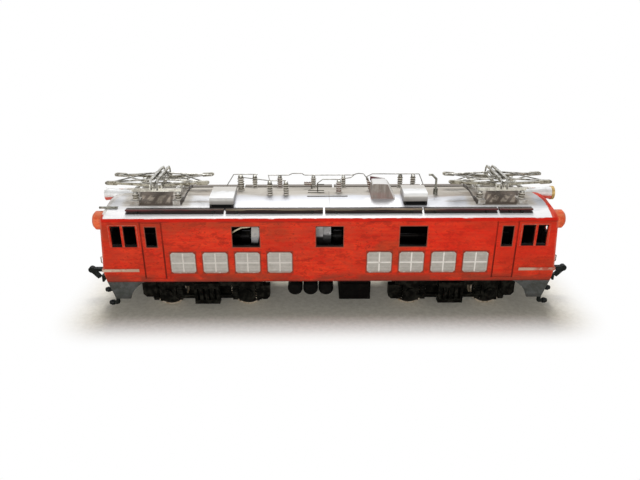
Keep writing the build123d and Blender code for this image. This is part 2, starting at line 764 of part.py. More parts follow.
# The cup of each worm shaft lies over its bogie's pivot, so that the bogie
# turns about the joint's middle.
for name, end in ENDS:
    pivot_x = end * bogie_place
    motor_mouth = motor_cups[0] if end < 0 else motor_cups[1]
    ball_depth = cup_length / 2
    with BuildPart() as cardan_shaft:
        near_ball = motor_mouth - end * ball_depth
        straight_rod((near_ball, 0, drive_height), (pivot_x, 0, drive_height), shaft_rod_radius)
        shaft_ball(near_ball)
        shaft_ball(pivot_x)
    cardan_shaft.part.label = f"cardan_shaft_{name}"
    export_step(cardan_shaft.part, f"parts/cardan_shaft_{name}.step")

    tower_x = pivot_x + end * tower_place
    tower_face = tower_x - end * tower_length / 2
    with BuildPart() as worm_shaft:
        joint_cup(pivot_x - end * ball_depth, -end)
        straight_rod(
            (pivot_x + end * (cup_length - ball_depth - wall), 0, drive_height),
            (tower_x + end * tower_length / 4, 0, drive_height),
            drive_shaft_radius,
        )
    worm_shaft.part.label = f"worm_shaft_{name}"
    export_step(worm_shaft.part, f"parts/worm_shaft_{name}.step")

    with BuildPart() as gear_tower:
        with BuildSketch(Plane.YZ.offset(tower_x - tower_length / 2)):
            with Locations((0, drive_height)):
                Circle(tower_crown)
            with Locations((0, block_top)):
                Rectangle(
                    2 * tower_crown, drive_height - block_top, align=(Align.CENTER, Align.MIN)
                )
                Rectangle(tower_width, tower_width / 2, align=(Align.CENTER, Align.MIN))
        extrude(amount=tower_length)
        straight_rod(
            (tower_face, 0, drive_height),
            (tower_x + end * (tower_length / 4 + running_gap), 0, drive_height),
            drive_shaft_radius + bearing_clearance,
            Mode.SUBTRACT,
        )
    gear_tower.part.label = f"gear_tower_{name}"
    export_step(gear_tower.part, f"parts/gear_tower_{name}.step")

    # Cast frame block with slots for both axles, and its cross member
    with BuildPart() as bogie_frame:
        half_block = block_length / 2
        block_between(
            (pivot_x - half_block, pivot_x + half_block),
            (-block_width / 2, block_width / 2),
            (block_foot, block_top),
        )
        chamfer(bogie_frame.edges().filter_by(Axis.Y), 2 * edge_softening)
        block_between(
            (pivot_x - transom_length / 2, pivot_x + transom_length / 2),
            (-side_frame_gap / 2, side_frame_gap / 2),
            transom_heights,
        )
        upright(pivot_x, 0, block_top, frame_height - running_gap, boss_radius)
        slot_radius = axle_radius + bearing_clearance
        for axle_x in (pivot_x - wheelbase / 2, pivot_x + wheelbase / 2):
            straight_rod(
                (axle_x, -block_width, axle_height),
                (axle_x, block_width, axle_height),
                slot_radius,
                Mode.SUBTRACT,
            )
            block_between(
                (axle_x - slot_radius, axle_x + slot_radius),
                (-block_width, block_width),
                (0, axle_height),
                Mode.SUBTRACT,
            )
        upright(pivot_x, 0, 0, crown_height, pivot_radius + bearing_clearance, Mode.SUBTRACT)
        upright(
            pivot_x,
            0,
            0,
            pivot_foot + pivot_head_height + running_gap,
            pivot_head_radius + running_gap,
            Mode.SUBTRACT,
        )
    bogie_frame.part.label = f"bogie_frame_{name}"
    export_step(bogie_frame.part, f"parts/bogie_frame_{name}.step")

    with BuildPart() as keeper_plate:
        keeper_foot = block_foot - keeper_thickness
        with BuildSketch(Plane.XY.offset(keeper_foot)):
            with Locations((pivot_x, 0)):
                Rectangle(block_length - 2 * keeper_margin, keeper_width)
                Circle(pivot_head_radius + 2 * running_gap, mode=Mode.SUBTRACT)
        extrude(amount=keeper_thickness)
        # Tongues close the axle slots from below
        for axle_x in (pivot_x - wheelbase / 2, pivot_x + wheelbase / 2):
            block_between(
                (axle_x - axle_radius, axle_x + axle_radius),
                (-keeper_width / 2, keeper_width / 2),
                (block_foot, axle_height - axle_radius - running_gap),
            )
    keeper_plate.part.label = f"keeper_plate_{name}"
    export_step(keeper_plate.part, f"parts/keeper_plate_{name}.step")

    with BuildPart() as side_frames:
        inner_face = side_frame_gap / 2
        outer_face = inner_face + side_frame_thickness
        axle_places = (pivot_x - wheelbase / 2, pivot_x + wheelbase / 2)
        with BuildSketch(Plane.XZ.offset(inner_face)):
            span_window((pivot_x - beam_half_length, pivot_x + beam_half_length), beam_heights)
            span_window((pivot_x - wheelbase / 2, pivot_x + wheelbase / 2), tie_bar_heights)
            for axle_x in axle_places:
                span_window((axle_x - axlebox_width / 2, axle_x + axlebox_width / 2), axlebox_heights)
                # Springs stand on both sides of each axlebox
                for x in (axle_x - spring_offset, axle_x + spring_offset):
                    span_window((x - spring_radius, x + spring_radius), (spring_foot, beam_heights[0]))
        extrude(amount=side_frame_thickness)
        with BuildSketch(Plane.XZ.offset(inner_face)):
            span_window((pivot_x - bolster_width / 2, pivot_x + bolster_width / 2), bolster_heights)
        extrude(amount=side_frame_thickness + bolster_proud)
        # Recesses in the bolster leave its upright springs standing
        with BuildSketch(Plane.XZ.offset(outer_face + bolster_proud)):
            with Locations((pivot_x, sum(bolster_slot_heights) / 2)):
                with GridLocations(bolster_slot_pitch, 0, bolster_slot_count, 1):
                    Rectangle(bolster_slot_width, bolster_slot_heights[1] - bolster_slot_heights[0])
        extrude(amount=-bolster_proud - wall, mode=Mode.SUBTRACT)
        for axle_x in axle_places:
            straight_rod(
                (axle_x, -outer_face, axle_height),
                (axle_x, -outer_face - axlebox_cover_proud, axle_height),
                axlebox_cover_radius,
            )
        # Sandboxes with cut corners at the foot
        with BuildSketch(Plane.XZ.offset(inner_face - wall)):
            for place, width, foot, top in sandboxes:
                mid = pivot_x + end * place
                with BuildLine():
                    Polyline(
                        (mid - width / 2, top),
                        (mid + width / 2, top),
                        (mid + width / 2, foot + sandbox_corner),
                        (mid + width / 2 - sandbox_corner, foot),
                        (mid - width / 2 + sandbox_corner, foot),
                        (mid - width / 2, foot + sandbox_corner),
                        close=True,
                    )
                make_face()
        extrude(amount=sandbox_depth)
        mirror(about=Plane.XZ)
    side_frames.part.label = f"side_frames_{name}"
    export_step(side_frames.part, f"parts/side_frames_{name}.step")

    for place, offset in (("inner", -end), ("outer", end)):
        axle_x = pivot_x + offset * wheelbase / 2
        with BuildPart() as wheelset:
            # Half section of one wheel and the axle, turned about the axle
            flange_radius = tread_radius + flange_height
            rim_radius = tread_radius - rim_thickness
            profile = [
                (0, 0),
                (axle_radius, 0),
                (axle_radius, wheel_inner),
                (flange_radius, wheel_inner),
                (tread_radius, wheel_inner + flange_width),
                (tread_radius, wheel_outer),
                (rim_radius, wheel_outer),
                (hub_radius, wheel_outer - web_depth),
                (0, wheel_outer - web_depth),
            ]
            with BuildSketch(Plane.XY.offset(axle_height), mode=Mode.PRIVATE) as half:
                with BuildLine():
                    Polyline(*[(axle_x + r, -y) for r, y in profile], close=True)
                make_face()
            revolve(half.sketch, axis=Axis((axle_x, 0, axle_height), (0, 1, 0)))
            mirror(about=Plane.XZ)
        wheelset.part.label = f"wheelset_{name}_{place}"
        export_step(wheelset.part, f"parts/wheelset_{name}_{place}.step")

with BuildPart() as bogie_pivots:
    for end in (-1, 1):
        x = end * bogie_place
        upright(x, 0, pivot_foot, pivot_foot + pivot_head_height, pivot_head_radius)
        upright(x, 0, pivot_foot + pivot_head_height, floor_top, pivot_radius)
        upright(x, 0, floor_top, floor_top + pivot_head_height, pivot_head_radius)
bogie_pivots.part.label = "bogie_pivots"
export_step(bogie_pivots.part, "parts/bogie_pivots.step")

# --------------------------------------------------------------------- ends


def front_x(y, z):
    """Distance of a front's outer face from the middle of the body."""
    ahead = front_nose * (1 - abs(y) / half_width)
    if z > waist_height:
        return half_length + ahead - (z - waist_height) * tan(radians(front_rake))
    return half_length + ahead - sill_tuck * (waist_height - z) / (waist_height - sill_height)


with BuildPart() as end_skirts:
    # Outline of a side plate: an arc rises from the tip to the body
    with BuildSketch(Plane.XZ.offset(half_width)):
        for end in (-1, 1):
            sill_x = half_length - sill_tuck
            with BuildLine():
                Polyline(
                    (end * skirt_back, sill_height),
                    (end * sill_x, sill_height),
                    (end * (sill_x - skirt_toe_tuck), skirt_foot),
                    (end * skirt_tip, skirt_foot),
                )
                arc_mid = (end * (skirt_tip - skirt_bend[0]), skirt_foot + skirt_bend[1])
                ThreePointArc(
                    (end * skirt_tip, skirt_foot), arc_mid, (end * skirt_back, sill_height)
                )
            make_face()
    extrude(amount=-skirt_thickness)
    mirror(about=Plane.XZ)
    # Front plates follow the pointed front and lean back to the toe.
    for end in (-1, 1):
        for side in (-1, 1):
            gap_side = side * skirt_front_gap / 2
            corners = []
            for z in (skirt_foot, sill_height):
                tuck = skirt_toe_tuck * (sill_height - z) / (sill_height - skirt_foot)
                for y in (gap_side, side * half_width):
                    corners.append(((front_x(y, sill_height) - tuck) * end, y, z))
            with BuildSketch(Plane.XY.offset(skirt_foot)) as low:
                with BuildLine():
                    Polyline(
                        (corners[0][0], corners[0][1]),
                        (corners[1][0], corners[1][1]),
                        (corners[1][0] - end * skirt_thickness, corners[1][1]),
                        (corners[0][0] - end * skirt_thickness, corners[0][1]),
                        close=True,
                    )
                make_face()
            with BuildSketch(Plane.XY.offset(sill_height)) as high:
                with BuildLine():
                    Polyline(
                        (corners[2][0], corners[2][1]),
                        (corners[3][0], corners[3][1]),
                        (corners[3][0] - end * skirt_thickness, corners[3][1]),
                        (corners[2][0] - end * skirt_thickness, corners[2][1]),
                        close=True,
                    )
                make_face()
            loft(ruled=True)
end_skirts.part.label = "end_skirts"
export_step(end_skirts.part, "parts/end_skirts.step")

with BuildPart() as coupler_boxes:
    pocket_low = coupler_height - pocket_height / 2
    pocket_high = coupler_height + pocket_height / 2
    for end in (-1, 1):
        span = [end * x for x in coupler_pocket]
        block_between(span, (-pocket_width / 2, pocket_width / 2), (pocket_low, pocket_high))
        inner_span = (end * (coupler_pocket[0] + pocket_wall), end * (coupler_pocket[1] + wall))
        inner_side = pocket_width / 2 - pocket_wall
        block_between(
            inner_span,
            (-inner_side, inner_side),
            (pocket_low + pocket_wall, pocket_high - pocket_wall),
            Mode.SUBTRACT,
        )
        # Shoulder up to the floor's tongue, and the pin that the coupler turns on
        block_between(
            (end * coupler_pocket[0], end * tongue_end),
            (-pocket_width / 2, pocket_width / 2),
            (pocket_high, frame_height),
        )
        upright(end * coupler_pin, 0, pocket_low, pocket_high, coupler_pin_radius)
coupler_boxes.part.label = "coupler_boxes"
export_step(coupler_boxes.part, "parts/coupler_boxes.step")

for name, end in ENDS:
    with BuildPart() as coupler:
        pin_x = end * coupler_pin
        shank_low = coupler_height - shank_height / 2
        with BuildSketch(Plane.XY.offset(shank_low)):
            with Locations((pin_x, 0)):
                Circle(coupler_pin_radius + eye_wall)
            with Locations((end * (coupler_pin + coupler_reach - hook_lobe) / 2, 0)):
                Rectangle(coupler_reach - hook_lobe - coupler_pin, shank_width)
        extrude(amount=shank_height)
        # Hooked head with a lobe at the nose and a tail that hangs back
        with BuildSketch(Plane.XZ.offset(-hook_thickness / 2)):
            nose_x = coupler_reach - hook_lobe
            tail_x = coupler_reach - hook_tail[0]
            tail_z = coupler_height - hook_tail[1]
            with BuildLine():
                Polyline(
                    (end * (nose_x + hook_lobe / 2), coupler_height - hook_lobe / 2),
                    (end * tail_x, tail_z),
                    (end * (tail_x - hook_bar), tail_z + hook_bar / 2),
                    (end * (nose_x - hook_bar), coupler_height),
                    (end * nose_x, coupler_height + hook_lobe / 2),
                    close=True,
                )
            make_face()
            with Locations((end * nose_x, coupler_height)):
                Circle(hook_lobe)
        extrude(amount=hook_thickness)
        upright(
            pin_x, 0, 0, crown_height, coupler_pin_radius + bearing_clearance, Mode.SUBTRACT
        )
    coupler.part.label = f"coupler_{name}"
    export_step(coupler.part, f"parts/coupler_{name}.step")

with BuildPart() as brake_hoses:
    for end in (-1, 1):
        for side in (-1, 1):
            for hose_side, toe_height, toe_reach in hoses:
                y = side * hose_side
                x = end * (front_x(y, sill_height) - skirt_toe_tuck)
                toe = (x + end * toe_reach, y, toe_height)
                bent_bar([(x, y, skirt_foot), (x, y, toe_height), toe], hose_radius)
brake_hoses.part.label = "brake_hoses"
export_step(brake_hoses.part, "parts/brake_hoses.step")

with BuildPart() as end_steps:
    for end in (-1, 1):
        for side in (-1, 1):
            y_span = (side * step_sides[0], side * step_sides[1])
            root = front_x(step_sides[0], sill_height)
            block_between(
                (end * (root - step_root), end * (root + step_reach)),
                y_span,
                (step_heights[1] - step_thickness, step_heights[1]),
            )
            block_between(
                (end * (root + step_reach - step_thickness), end * (root + step_reach)),
                y_span,
                step_heights,
            )
    add(outer_block, mode=Mode.SUBTRACT)
    add(end_skirts.part, mode=Mode.SUBTRACT)
end_steps.part.label = "end_steps"
export_step(end_steps.part, "parts/end_steps.step")

with BuildPart() as handrails:
    for end in (-1, 1):
        for side in (-1, 1):
            y = side * handrail_side
            low, high = handrail_heights
            reach = front_x(y, high) + handrail_reach
            root = end * (front_x(y, high) - front_wall / 2)
            loop = [(root, y, low), (end * reach, y, low), (end * reach, y, high), (root, y, high)]
            bent_bar(loop, handrail_radius)
    add(outer_block, mode=Mode.SUBTRACT)
handrails.part.label = "handrails"
export_step(handrails.part, "parts/handrails.step")

# -------------------------------------------------------------------- lamps
with BuildPart() as headlamp_casings:
    profile = [
        (lamp_tail, 0),
        (lamp_tail, lamp_tail_radius - lamp_tail_nose / 2),
        (lamp_tail + lamp_tail_nose, lamp_tail_radius),
        (lamp_front, lamp_radius),
        (lamp_front, lens_radius),
        (lamp_front - lamp_recess, lens_radius),
        (lamp_front - lamp_recess, 0),
    ]
    for end in (-1, 1):
        with BuildSketch(Plane.XZ, mode=Mode.PRIVATE) as half:
            with BuildLine():
                Polyline(*[(end * x, lamp_height + r) for x, r in profile], close=True)
            make_face()
        revolve(half.sketch, axis=Axis((0, 0, lamp_height), (1, 0, 0)))
    add(outer_block, mode=Mode.SUBTRACT)
headlamp_casings.part.label = "headlamp_casings"
export_step(headlamp_casings.part, "parts/headlamp_casings.step")

# Only the headlamp of end 2 has a bezel
with BuildPart() as headlamp_bezels:
    back = (lamp_front, 0, lamp_height)
    front = (lamp_front + bezel_length, 0, lamp_height)
    straight_rod(back, front, bezel_radius)
    straight_rod(back, front, lens_radius, Mode.SUBTRACT)
headlamp_bezels.part.label = "headlamp_bezels"
export_step(headlamp_bezels.part, "parts/headlamp_bezels.step")

corner_lamps = [
    (end, (side * corner_lamp_side, corner_lamp_height)) for end in (-1, 1) for side in (-1, 1)
]

with BuildPart() as corner_lamp_housings:
    for end, middle in corner_lamps:
        back = (end * corner_lamp_back, *middle)
        straight_rod(back, (end * corner_lamp_front, *middle), corner_lamp_radius)
    rims = corner_lamp_housings.edges().filter_by(GeomType.CIRCLE)
    chamfer([rim for rim in rims if abs(rim.center().X) > half_length], corner_lamp_rim)
    for end, middle in corner_lamps:
        recess = (end * (corner_lamp_front - lamp_recess), *middle)
        front = (end * corner_lamp_front, *middle)
        straight_rod(recess, front, corner_lens_radius, Mode.SUBTRACT)
    add(outer_block, mode=Mode.SUBTRACT)
corner_lamp_housings.part.label = "corner_lamp_housings"
export_step(corner_lamp_housings.part, "parts/corner_lamp_housings.step")

with BuildPart() as lamp_lenses:
    for end in (-1, 1):
        straight_rod(
            (end * (lamp_front - lamp_recess), 0, lamp_height),
            (end * (lamp_front + lens_proud), 0, lamp_height),
            lens_radius,
        )
    for end, middle in corner_lamps:
        straight_rod(
            (end * (corner_lamp_front - lamp_recess), *middle),
            (end * (corner_lamp_front + corner_lens_proud), *middle),
            corner_lens_radius,
        )
lamp_lenses.part.label = "lamp_lenses"
export_step(lamp_lenses.part, "parts/lamp_lenses.step")

# ------------------------------------------------------------ roof fittings
with BuildPart() as running_boards:
    board_foot = board_top - board_thickness
    board_edges = (-board_side - board_width / 2, -board_side + board_width / 2)
    for start, stop in zip(board_joints[:-1], board_joints[1:]):
        span = (start + board_gap / 2, stop - board_gap / 2)
        block_between(span, board_edges, (board_foot, board_top))
        # Brackets near both ends of each board stand on the roof
        for x in (span[0] + bracket_inset, span[1] - bracket_inset):
            block_between(
                (x - bracket_width / 2, x + bracket_width / 2),
                (board_edges[0], -board_side),
                (eaves_height, board_foot),
            )
    add(outer_block, mode=Mode.SUBTRACT)
    add(running_boards.part.rotate(Axis.Z, 180))
running_boards.part.label = "running_boards"
export_step(running_boards.part, "parts/running_boards.step")

with BuildPart() as box_ventilators:
    for x, front, front_rise, back_rise in vents:
        with BuildSketch(Plane.YZ.offset(x - vent_length / 2)) as shape:
            with BuildLine():
                Polyline(
                    (vent_back, eaves_height),
                    (vent_back, crown_height + back_rise),
                    (front, crown_height + front_rise),
                    (front, eaves_height),
                    close=True,
                )
            make_face()
            brow = shape.vertices().group_by(Axis.X)[0].sort_by(Axis.Y)[-1]
            fillet(brow, vent_brow)
        extrude(amount=vent_length)
        # Air mouth along the foot of the hood
        block_between(
            (x - vent_length / 2 + wall, x + vent_length / 2 - wall),
            (front, front + vent_mouth_depth),
            (eaves_height, roof_z(front) + vent_mouth),
            Mode.SUBTRACT,
        )
    add(outer_block, mode=Mode.SUBTRACT)
box_ventilators.part.label = "box_ventilators"
export_step(box_ventilators.part, "parts/box_ventilators.step")

with BuildPart() as quarter_hood:
    flat_end = hood_span[0] + hood_flat
    with BuildSketch(Plane.XZ.offset(-hood_sides[0])):
        with BuildLine():
            Polyline(
                (hood_span[1], crown_height),
                (hood_span[1], eaves_height),
                (hood_span[0], eaves_height),
                (hood_span[0], hood_top),
                (flat_end, hood_top),
            )
            ThreePointArc((flat_end, hood_top), hood_shoulder, (hood_span[1], crown_height))
        make_face()
    extrude(amount=hood_sides[0] - hood_sides[1])
    # The hood is open at its back
    block_between(
        (hood_span[0] + wall, flat_end),
        (hood_sides[0] + wall, hood_sides[1]),
        (eaves_height, hood_top - wall),
        Mode.SUBTRACT,
    )
    # Upright fin behind the hood
    with BuildSketch(Plane.XZ.offset(-hood_sides[1])):
        with BuildLine():
            Polyline(
                (hood_span[0], hood_top - wall),
                (hood_span[0], hood_top + fin_rise),
                (flat_end, hood_top),
                (flat_end, hood_top - wall),
                close=True,
            )
        make_face()
    extrude(amount=-fin_thickness)
    add(outer_block, mode=Mode.SUBTRACT)
quarter_hood.part.label = "quarter_hood"
export_step(quarter_hood.part, "parts/quarter_hood.step")


def insulator(foot, direction, radius, height):
    """Insulator of two bell-shaped sheds with a plain cap, standing on foot."""
    stem = insulator_stem * radius
    shed = (height - insulator_cap) / 2
    slope = degrees(atan2(radius - stem, shed))
    base = Plane(origin=foot, z_dir=direction)
    for lift in (0, shed):
        with BuildSketch(base.offset(lift), mode=Mode.PRIVATE) as bell:
            RegularPolygon(radius, insulator_sides)
        extrude(bell.sketch, amount=shed, taper=slope)
    with BuildSketch(base.offset(2 * shed), mode=Mode.PRIVATE) as cap:
        RegularPolygon(stem, insulator_sides)
    extrude(cap.sketch, amount=insulator_cap)


collector_feet = [
    (end * collector_place + x, y)
    for end in (-1, 1)
    for x in (-foot_reach, foot_reach)
    for y in (-foot_side, foot_side)
]

with BuildPart() as roof_insulators:
    for x, y, radius, rise in insulators.values():
        foot = roof_z(y) - wall
        insulator((x, y, foot), (0, 0, 1), radius, crown_height + rise - foot)
    add(outer_block, mode=Mode.SUBTRACT)
    for x, y in collector_feet:
        insulator((x, y, pad_top), (0, 0, 1), foot_radius, foot_height)
roof_insulators.part.label = "roof_insulators"
export_step(roof_insulators.part, "parts/roof_insulators.step")

with BuildPart() as roof_pads:
    for x, y in collector_feet:
        block_between(
            (x - pad_length / 2, x + pad_length / 2),
            (y - pad_width / 2, y + pad_width / 2),
            (eaves_height, pad_top),
        )
    # A gutter strip lies across the roof on the inner side of each collector
    with BuildSketch(Plane.YZ) as gutter:
        with Locations((0, crown_height - roof_radius)):
            Circle(roof_radius + gutter_rise)
        with Locations((0, crown_height)):
            Rectangle(2 * gutter_half, crown_height - eaves_height, mode=Mode.INTERSECT)
    for x in (-gutter_place, gutter_place):
        extrude(
            Plane.YZ.offset(x - gutter_width / 2) * gutter.sketch_local, amount=gutter_width
        )
    add(outer_block, mode=Mode.SUBTRACT)
roof_pads.part.label = "roof_pads"
export_step(roof_pads.part, "parts/roof_pads.step")


def cap_of(name):
    """Where a wire rests on top of a named insulator."""
    x, y, _, rise = insulators[name]
    return (x, y, crown_height + rise + wire_radius)


def beside(name, ahead):
    """Point level with the wire on a named insulator, ahead of it along X."""
    x, y, z = cap_of(name)
    return (x + ahead, y, z)


def on_roof(x, y):
    """Point on the roof's outer face."""
    return (x, y, roof_z(y))


# The cable head leans back to the point where three wires meet
cable_foot = Vector(*cable_head_foot, roof_z(cable_head_foot[1]) - wall)
cable_top = tuple(cable_foot + Vector(*cable_head_lean).normalized() * cable_head_length)
arm_tip = (post_rod_place[0] + post_rod_arm, post_rod_place[1], post_rod_top - wall)
far_wire = cap_of("switch_far")[2]

# Runs of bare wire between the insulators
wires = [
    [
        on_roof(insulators["lead_in_far"][0] - 5 * wire_step, insulator_far_side),
        beside("lead_in_far", -3.5 * wire_step),
        beside("lead_in_far", wire_step / 2),
    ],
    [cap_of("lead_in"), cap_of("switch"), cap_of("switch_near")],
    [
        cap_of("switch"),
        beside("switch_far", -wire_crossing),
        beside("switch_far", 1.5 * wire_step),
        (wire_arch_span[0], insulator_far_side, far_wire + wire_arch),
        (wire_arch_span[1], insulator_far_side, far_wire + wire_arch),
        beside("breaker_far", -1.5 * wire_step),
        beside("breaker_end", 1.5 * wire_step),
        wire_fork,
        cable_top,
    ],
    [arm_tip, cap_of("breaker_near")],
    [cap_of("breaker_near"), wire_near_bend, wire_fork],
    [
        cable_top,
        wire_hood_bend,
        beside("bus_near", -wire_step),
        beside("bus_end", wire_step),
        on_roof(insulators["bus_end"][0] + 2 * wire_step, insulator_far_side),
    ],
]

with BuildPart() as circuit_breaker:
    # Sloping cable head
    insulator(cable_foot, cable_head_lean, cable_head_radius, cable_head_length)
    # Level insulator on a foot of its own
    start = (breaker_start, breaker_side, breaker_height)
    insulator(start, (1, 0, 0), breaker_radius, breaker_length)
    bar_foot = (breaker_foot_place, breaker_side, roof_z(breaker_side) - wall)
    straight_bar(bar_foot, (breaker_foot_place, breaker_side, breaker_height), breaker_rod_radius)
    # Post with an arm, in a frame of two bars
    straight_bar(
        (*post_rod_place, crown_height - wall), (*post_rod_place, post_rod_top), breaker_rod_radius
    )
    arm_foot = (*post_rod_place, post_rod_top - wall)
    straight_bar(arm_foot, arm_tip, breaker_rod_radius)
    for y in breaker_frame_sides:
        straight_bar(
            on_roof(breaker_frame_span[0], y), on_roof(breaker_frame_span[1], y), breaker_rod_radius
        )
    # Earthing rod along the near half of the roof
    straight_bar(
        on_roof(earth_rod_span[0], -earth_rod_side),
        on_roof(earth_rod_span[1], -earth_rod_side),
        breaker_rod_radius,
    )
    add(outer_block, mode=Mode.SUBTRACT)
circuit_breaker.part.label = "circuit_breaker"
export_step(circuit_breaker.part, "parts/circuit_breaker.step")

with BuildPart() as roof_wires:
    for points in wires:
        bent_bar(points, wire_radius)
    add(outer_block, mode=Mode.SUBTRACT)
    add(roof_insulators.part, mode=Mode.SUBTRACT)
    add(circuit_breaker.part, mode=Mode.SUBTRACT)
roof_wires.part.label = "roof_wires"
export_step(roof_wires.part, "parts/roof_wires.step")

# The gooseneck pipe on the roof and the whistle over one cab
with BuildPart() as roof_pipes:
    x, y = pipe_place
    bend = 2 * pipe_base_radius
    upright(x, y, eaves_height, pipe_base_top, pipe_base_radius)
    neck = [(x, y, pipe_base_top), (x, y, pipe_top - bend), (x - bend, y, pipe_top)]
    bent_bar([*neck, (pipe_outlet, y, pipe_top)], pipe_radius)
    straight_bar(
        (whistle_span[0], whistle_side, whistle_height),
        (whistle_span[1], whistle_side, whistle_height),
        whistle_radius,
    )
    block_between(
        whistle_foot_span,
        (whistle_side - whistle_radius, whistle_side + whistle_radius),
        (eaves_height, whistle_height),
    )
    add(outer_block, mode=Mode.SUBTRACT)
roof_pipes.part.label = "roof_pipes"
export_step(roof_pipes.part, "parts/roof_pipes.step")

# --------------------------------------------------------------- collectors
rail_half = foot_reach + rail_overhang
slot_top = head_z + journal_radius + open_pivot_gap
strip_foot = slot_top + head_plate_bridge
strip_top = strip_foot + strip_height

for name, end in ENDS:
    base_x = end * collector_place
    with BuildPart() as collector_base:
        for y in (-foot_side, foot_side):
            y_span = (y - rail_width / 2, y + rail_width / 2)
            block_between((base_x - rail_half, base_x + rail_half), y_span, (rail_foot, rail_top))
            # Lugs that carry the main shafts
            for x in (base_x - shaft_offset, base_x + shaft_offset):
                lug_span = (x - lug_radius, x + lug_radius)
                block_between(lug_span, y_span, (rail_top, shaft_height + lug_radius))
        for x in (base_x - foot_reach, base_x + foot_reach):
            block_between(
                (x - rail_width / 2, x + rail_width / 2), (-foot_side, foot_side), (rail_foot, rail_top)
            )
        # Raising springs in barrels, stretched between the cross bars
        spring_height = rail_foot + spring_rod_radius
        for y in (-spring_side, spring_side):
            for half, radius in (
                (foot_reach, spring_rod_radius),
                (spring_barrel_half, spring_barrel_radius),
            ):
                straight_bar(
                    (base_x - half, y, spring_height), (base_x + half, y, spring_height), radius
                )
        for x in (base_x - shaft_offset, base_x + shaft_offset):
            straight_rod(
                (x, -half_width, shaft_height),
                (x, half_width, shaft_height),
                journal_radius + pin_clearance,
                Mode.SUBTRACT,
            )
    collector_base.part.label = f"collector_base_{name}"
    export_step(collector_base.part, f"parts/collector_base_{name}.step")

    for letter, side in (("a", 1), ("b", -1)):
        shaft_x = base_x + side * shaft_offset
        knee_at = base_x + side * knee_x
        with BuildPart() as lower_arm:
            shaft_half = foot_side - rail_width / 2 - running_gap / 2
            journal_half = foot_side + rail_width / 2
            straight_bar(
                (shaft_x, -shaft_half, shaft_height), (shaft_x, shaft_half, shaft_height), shaft_radius
            )
            straight_rod(
                (shaft_x, -journal_half, shaft_height),
                (shaft_x, journal_half, shaft_height),
                journal_radius,
            )
            # Tapered beams that end in deep knee blocks
            along = Vector(side * cos(radians(arm_rest_angle)), 0, sin(radians(arm_rest_angle)))
            flank = Plane(origin=(shaft_x, 0, shaft_height), x_dir=along, z_dir=(0, -1, 0))
            neck = arm_length - knee_length
            half_outline = [
                (0, arm_root_height / 2),
                (neck, arm_neck_height / 2),
                (neck + knee_height / 2, knee_height / 2),
                (arm_length, knee_height / 2),
                (arm_length + knee_height / 2, knee_height / 4),
            ]
            outline = half_outline + [(x, -h) for x, h in reversed(half_outline)]
            for y in (-arm_side, arm_side):
                with BuildSketch(flank.offset(-y - arm_width / 2)):
                    with BuildLine():
                        Polyline(*outline, close=True)
                    make_face()
                    with Locations((arm_length, 0)):
                        Circle(knee_pin_radius + pin_clearance, mode=Mode.SUBTRACT)
                extrude(amount=arm_width)
        lower_arm.part.label = f"lower_arm_{name}{letter}"
        export_step(lower_arm.part, f"parts/lower_arm_{name}{letter}.step")

        with BuildPart() as upper_arm:
            for y in (-1, 1):
                straight_bar(
                    (knee_at, y * upper_side, knee_z), (shaft_x, y * upper_side, head_z), upper_radius
                )
                straight_rod(
                    (knee_at, y * (upper_side - upper_radius), knee_z),
                    (knee_at, y * (arm_side + arm_width / 2), knee_z),
                    knee_pin_radius,
                )
            tube_half = upper_side + upper_radius
            straight_rod((shaft_x, -tube_half, head_z), (shaft_x, tube_half, head_z), journal_radius)
            # Crossed bracing in the plane of the two tubes
            rise = Vector(shaft_x - knee_at, 0, head_z - knee_z)
            brace_start, brace_stop = [part_way * rise.length for part_way in brace_span]
            brace_reach = brace_stop - brace_start
            brace_length = (brace_reach**2 + (2 * upper_side) ** 2) ** 0.5
            brace_angle = degrees(atan2(2 * upper_side, brace_reach))
            sheet = Plane(origin=(knee_at, 0, knee_z), x_dir=rise, z_dir=rise.cross(Vector(0, 1, 0)))
            with BuildSketch(sheet):
                with Locations((brace_start + brace_reach / 2, 0)):
                    for turn in (-brace_angle, brace_angle):
                        Rectangle(brace_length, brace_width, rotation=turn)
            extrude(amount=brace_width / 2, both=True)
        upper_arm.part.label = f"upper_arm_{name}{letter}"
        export_step(upper_arm.part, f"parts/upper_arm_{name}{letter}.step")

    with BuildPart() as head:
        for y in (-head_plate_side, head_plate_side):
            block_between(
                (base_x - head_plate_half, base_x + head_plate_half),
                (y - head_plate_thickness / 2, y + head_plate_thickness / 2),
                (head_z - head_plate_drop, strip_foot),
            )
        # Running bore for one arm's tube, and an open slot for the other's
        straight_rod(
            (base_x + shaft_offset, -upper_side, head_z),
            (base_x + shaft_offset, upper_side, head_z),
            journal_radius + pin_clearance,
            Mode.SUBTRACT,
        )
        slot_half = journal_radius + open_pivot_gap
        block_between(
            (base_x - shaft_offset - slot_half, base_x - shaft_offset + slot_half),
            (-upper_side, upper_side),
            (shaft_height, slot_top),
            Mode.SUBTRACT,
        )
        for x in (base_x - strip_offset, base_x + strip_offset):
            block_between(
                (x - strip_width / 2, x + strip_width / 2),
                (-strip_half_length, strip_half_length),
                (strip_foot, strip_top),
            )
            for side in (-1, 1):
                horn_z = strip_foot + strip_height / 2
                bend_y = side * (strip_half_length + horn_reach)
                start_y = bend_y - side * horn_bend
                tip_y = bend_y + side * horn_spread
                bent_bar(
                    [
                        (x, side * (strip_half_length - wall), horn_z),
                        (x, start_y, horn_z),
                        (x, bend_y, horn_z - horn_bend),
                        (x, tip_y, horn_z - horn_drop),
                    ],
                    horn_radius,
                )
    head.part.label = f"collector_head_{name}"
    export_step(head.part, f"parts/collector_head_{name}.step")
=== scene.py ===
from math import cos, pi, radians, sin, tan

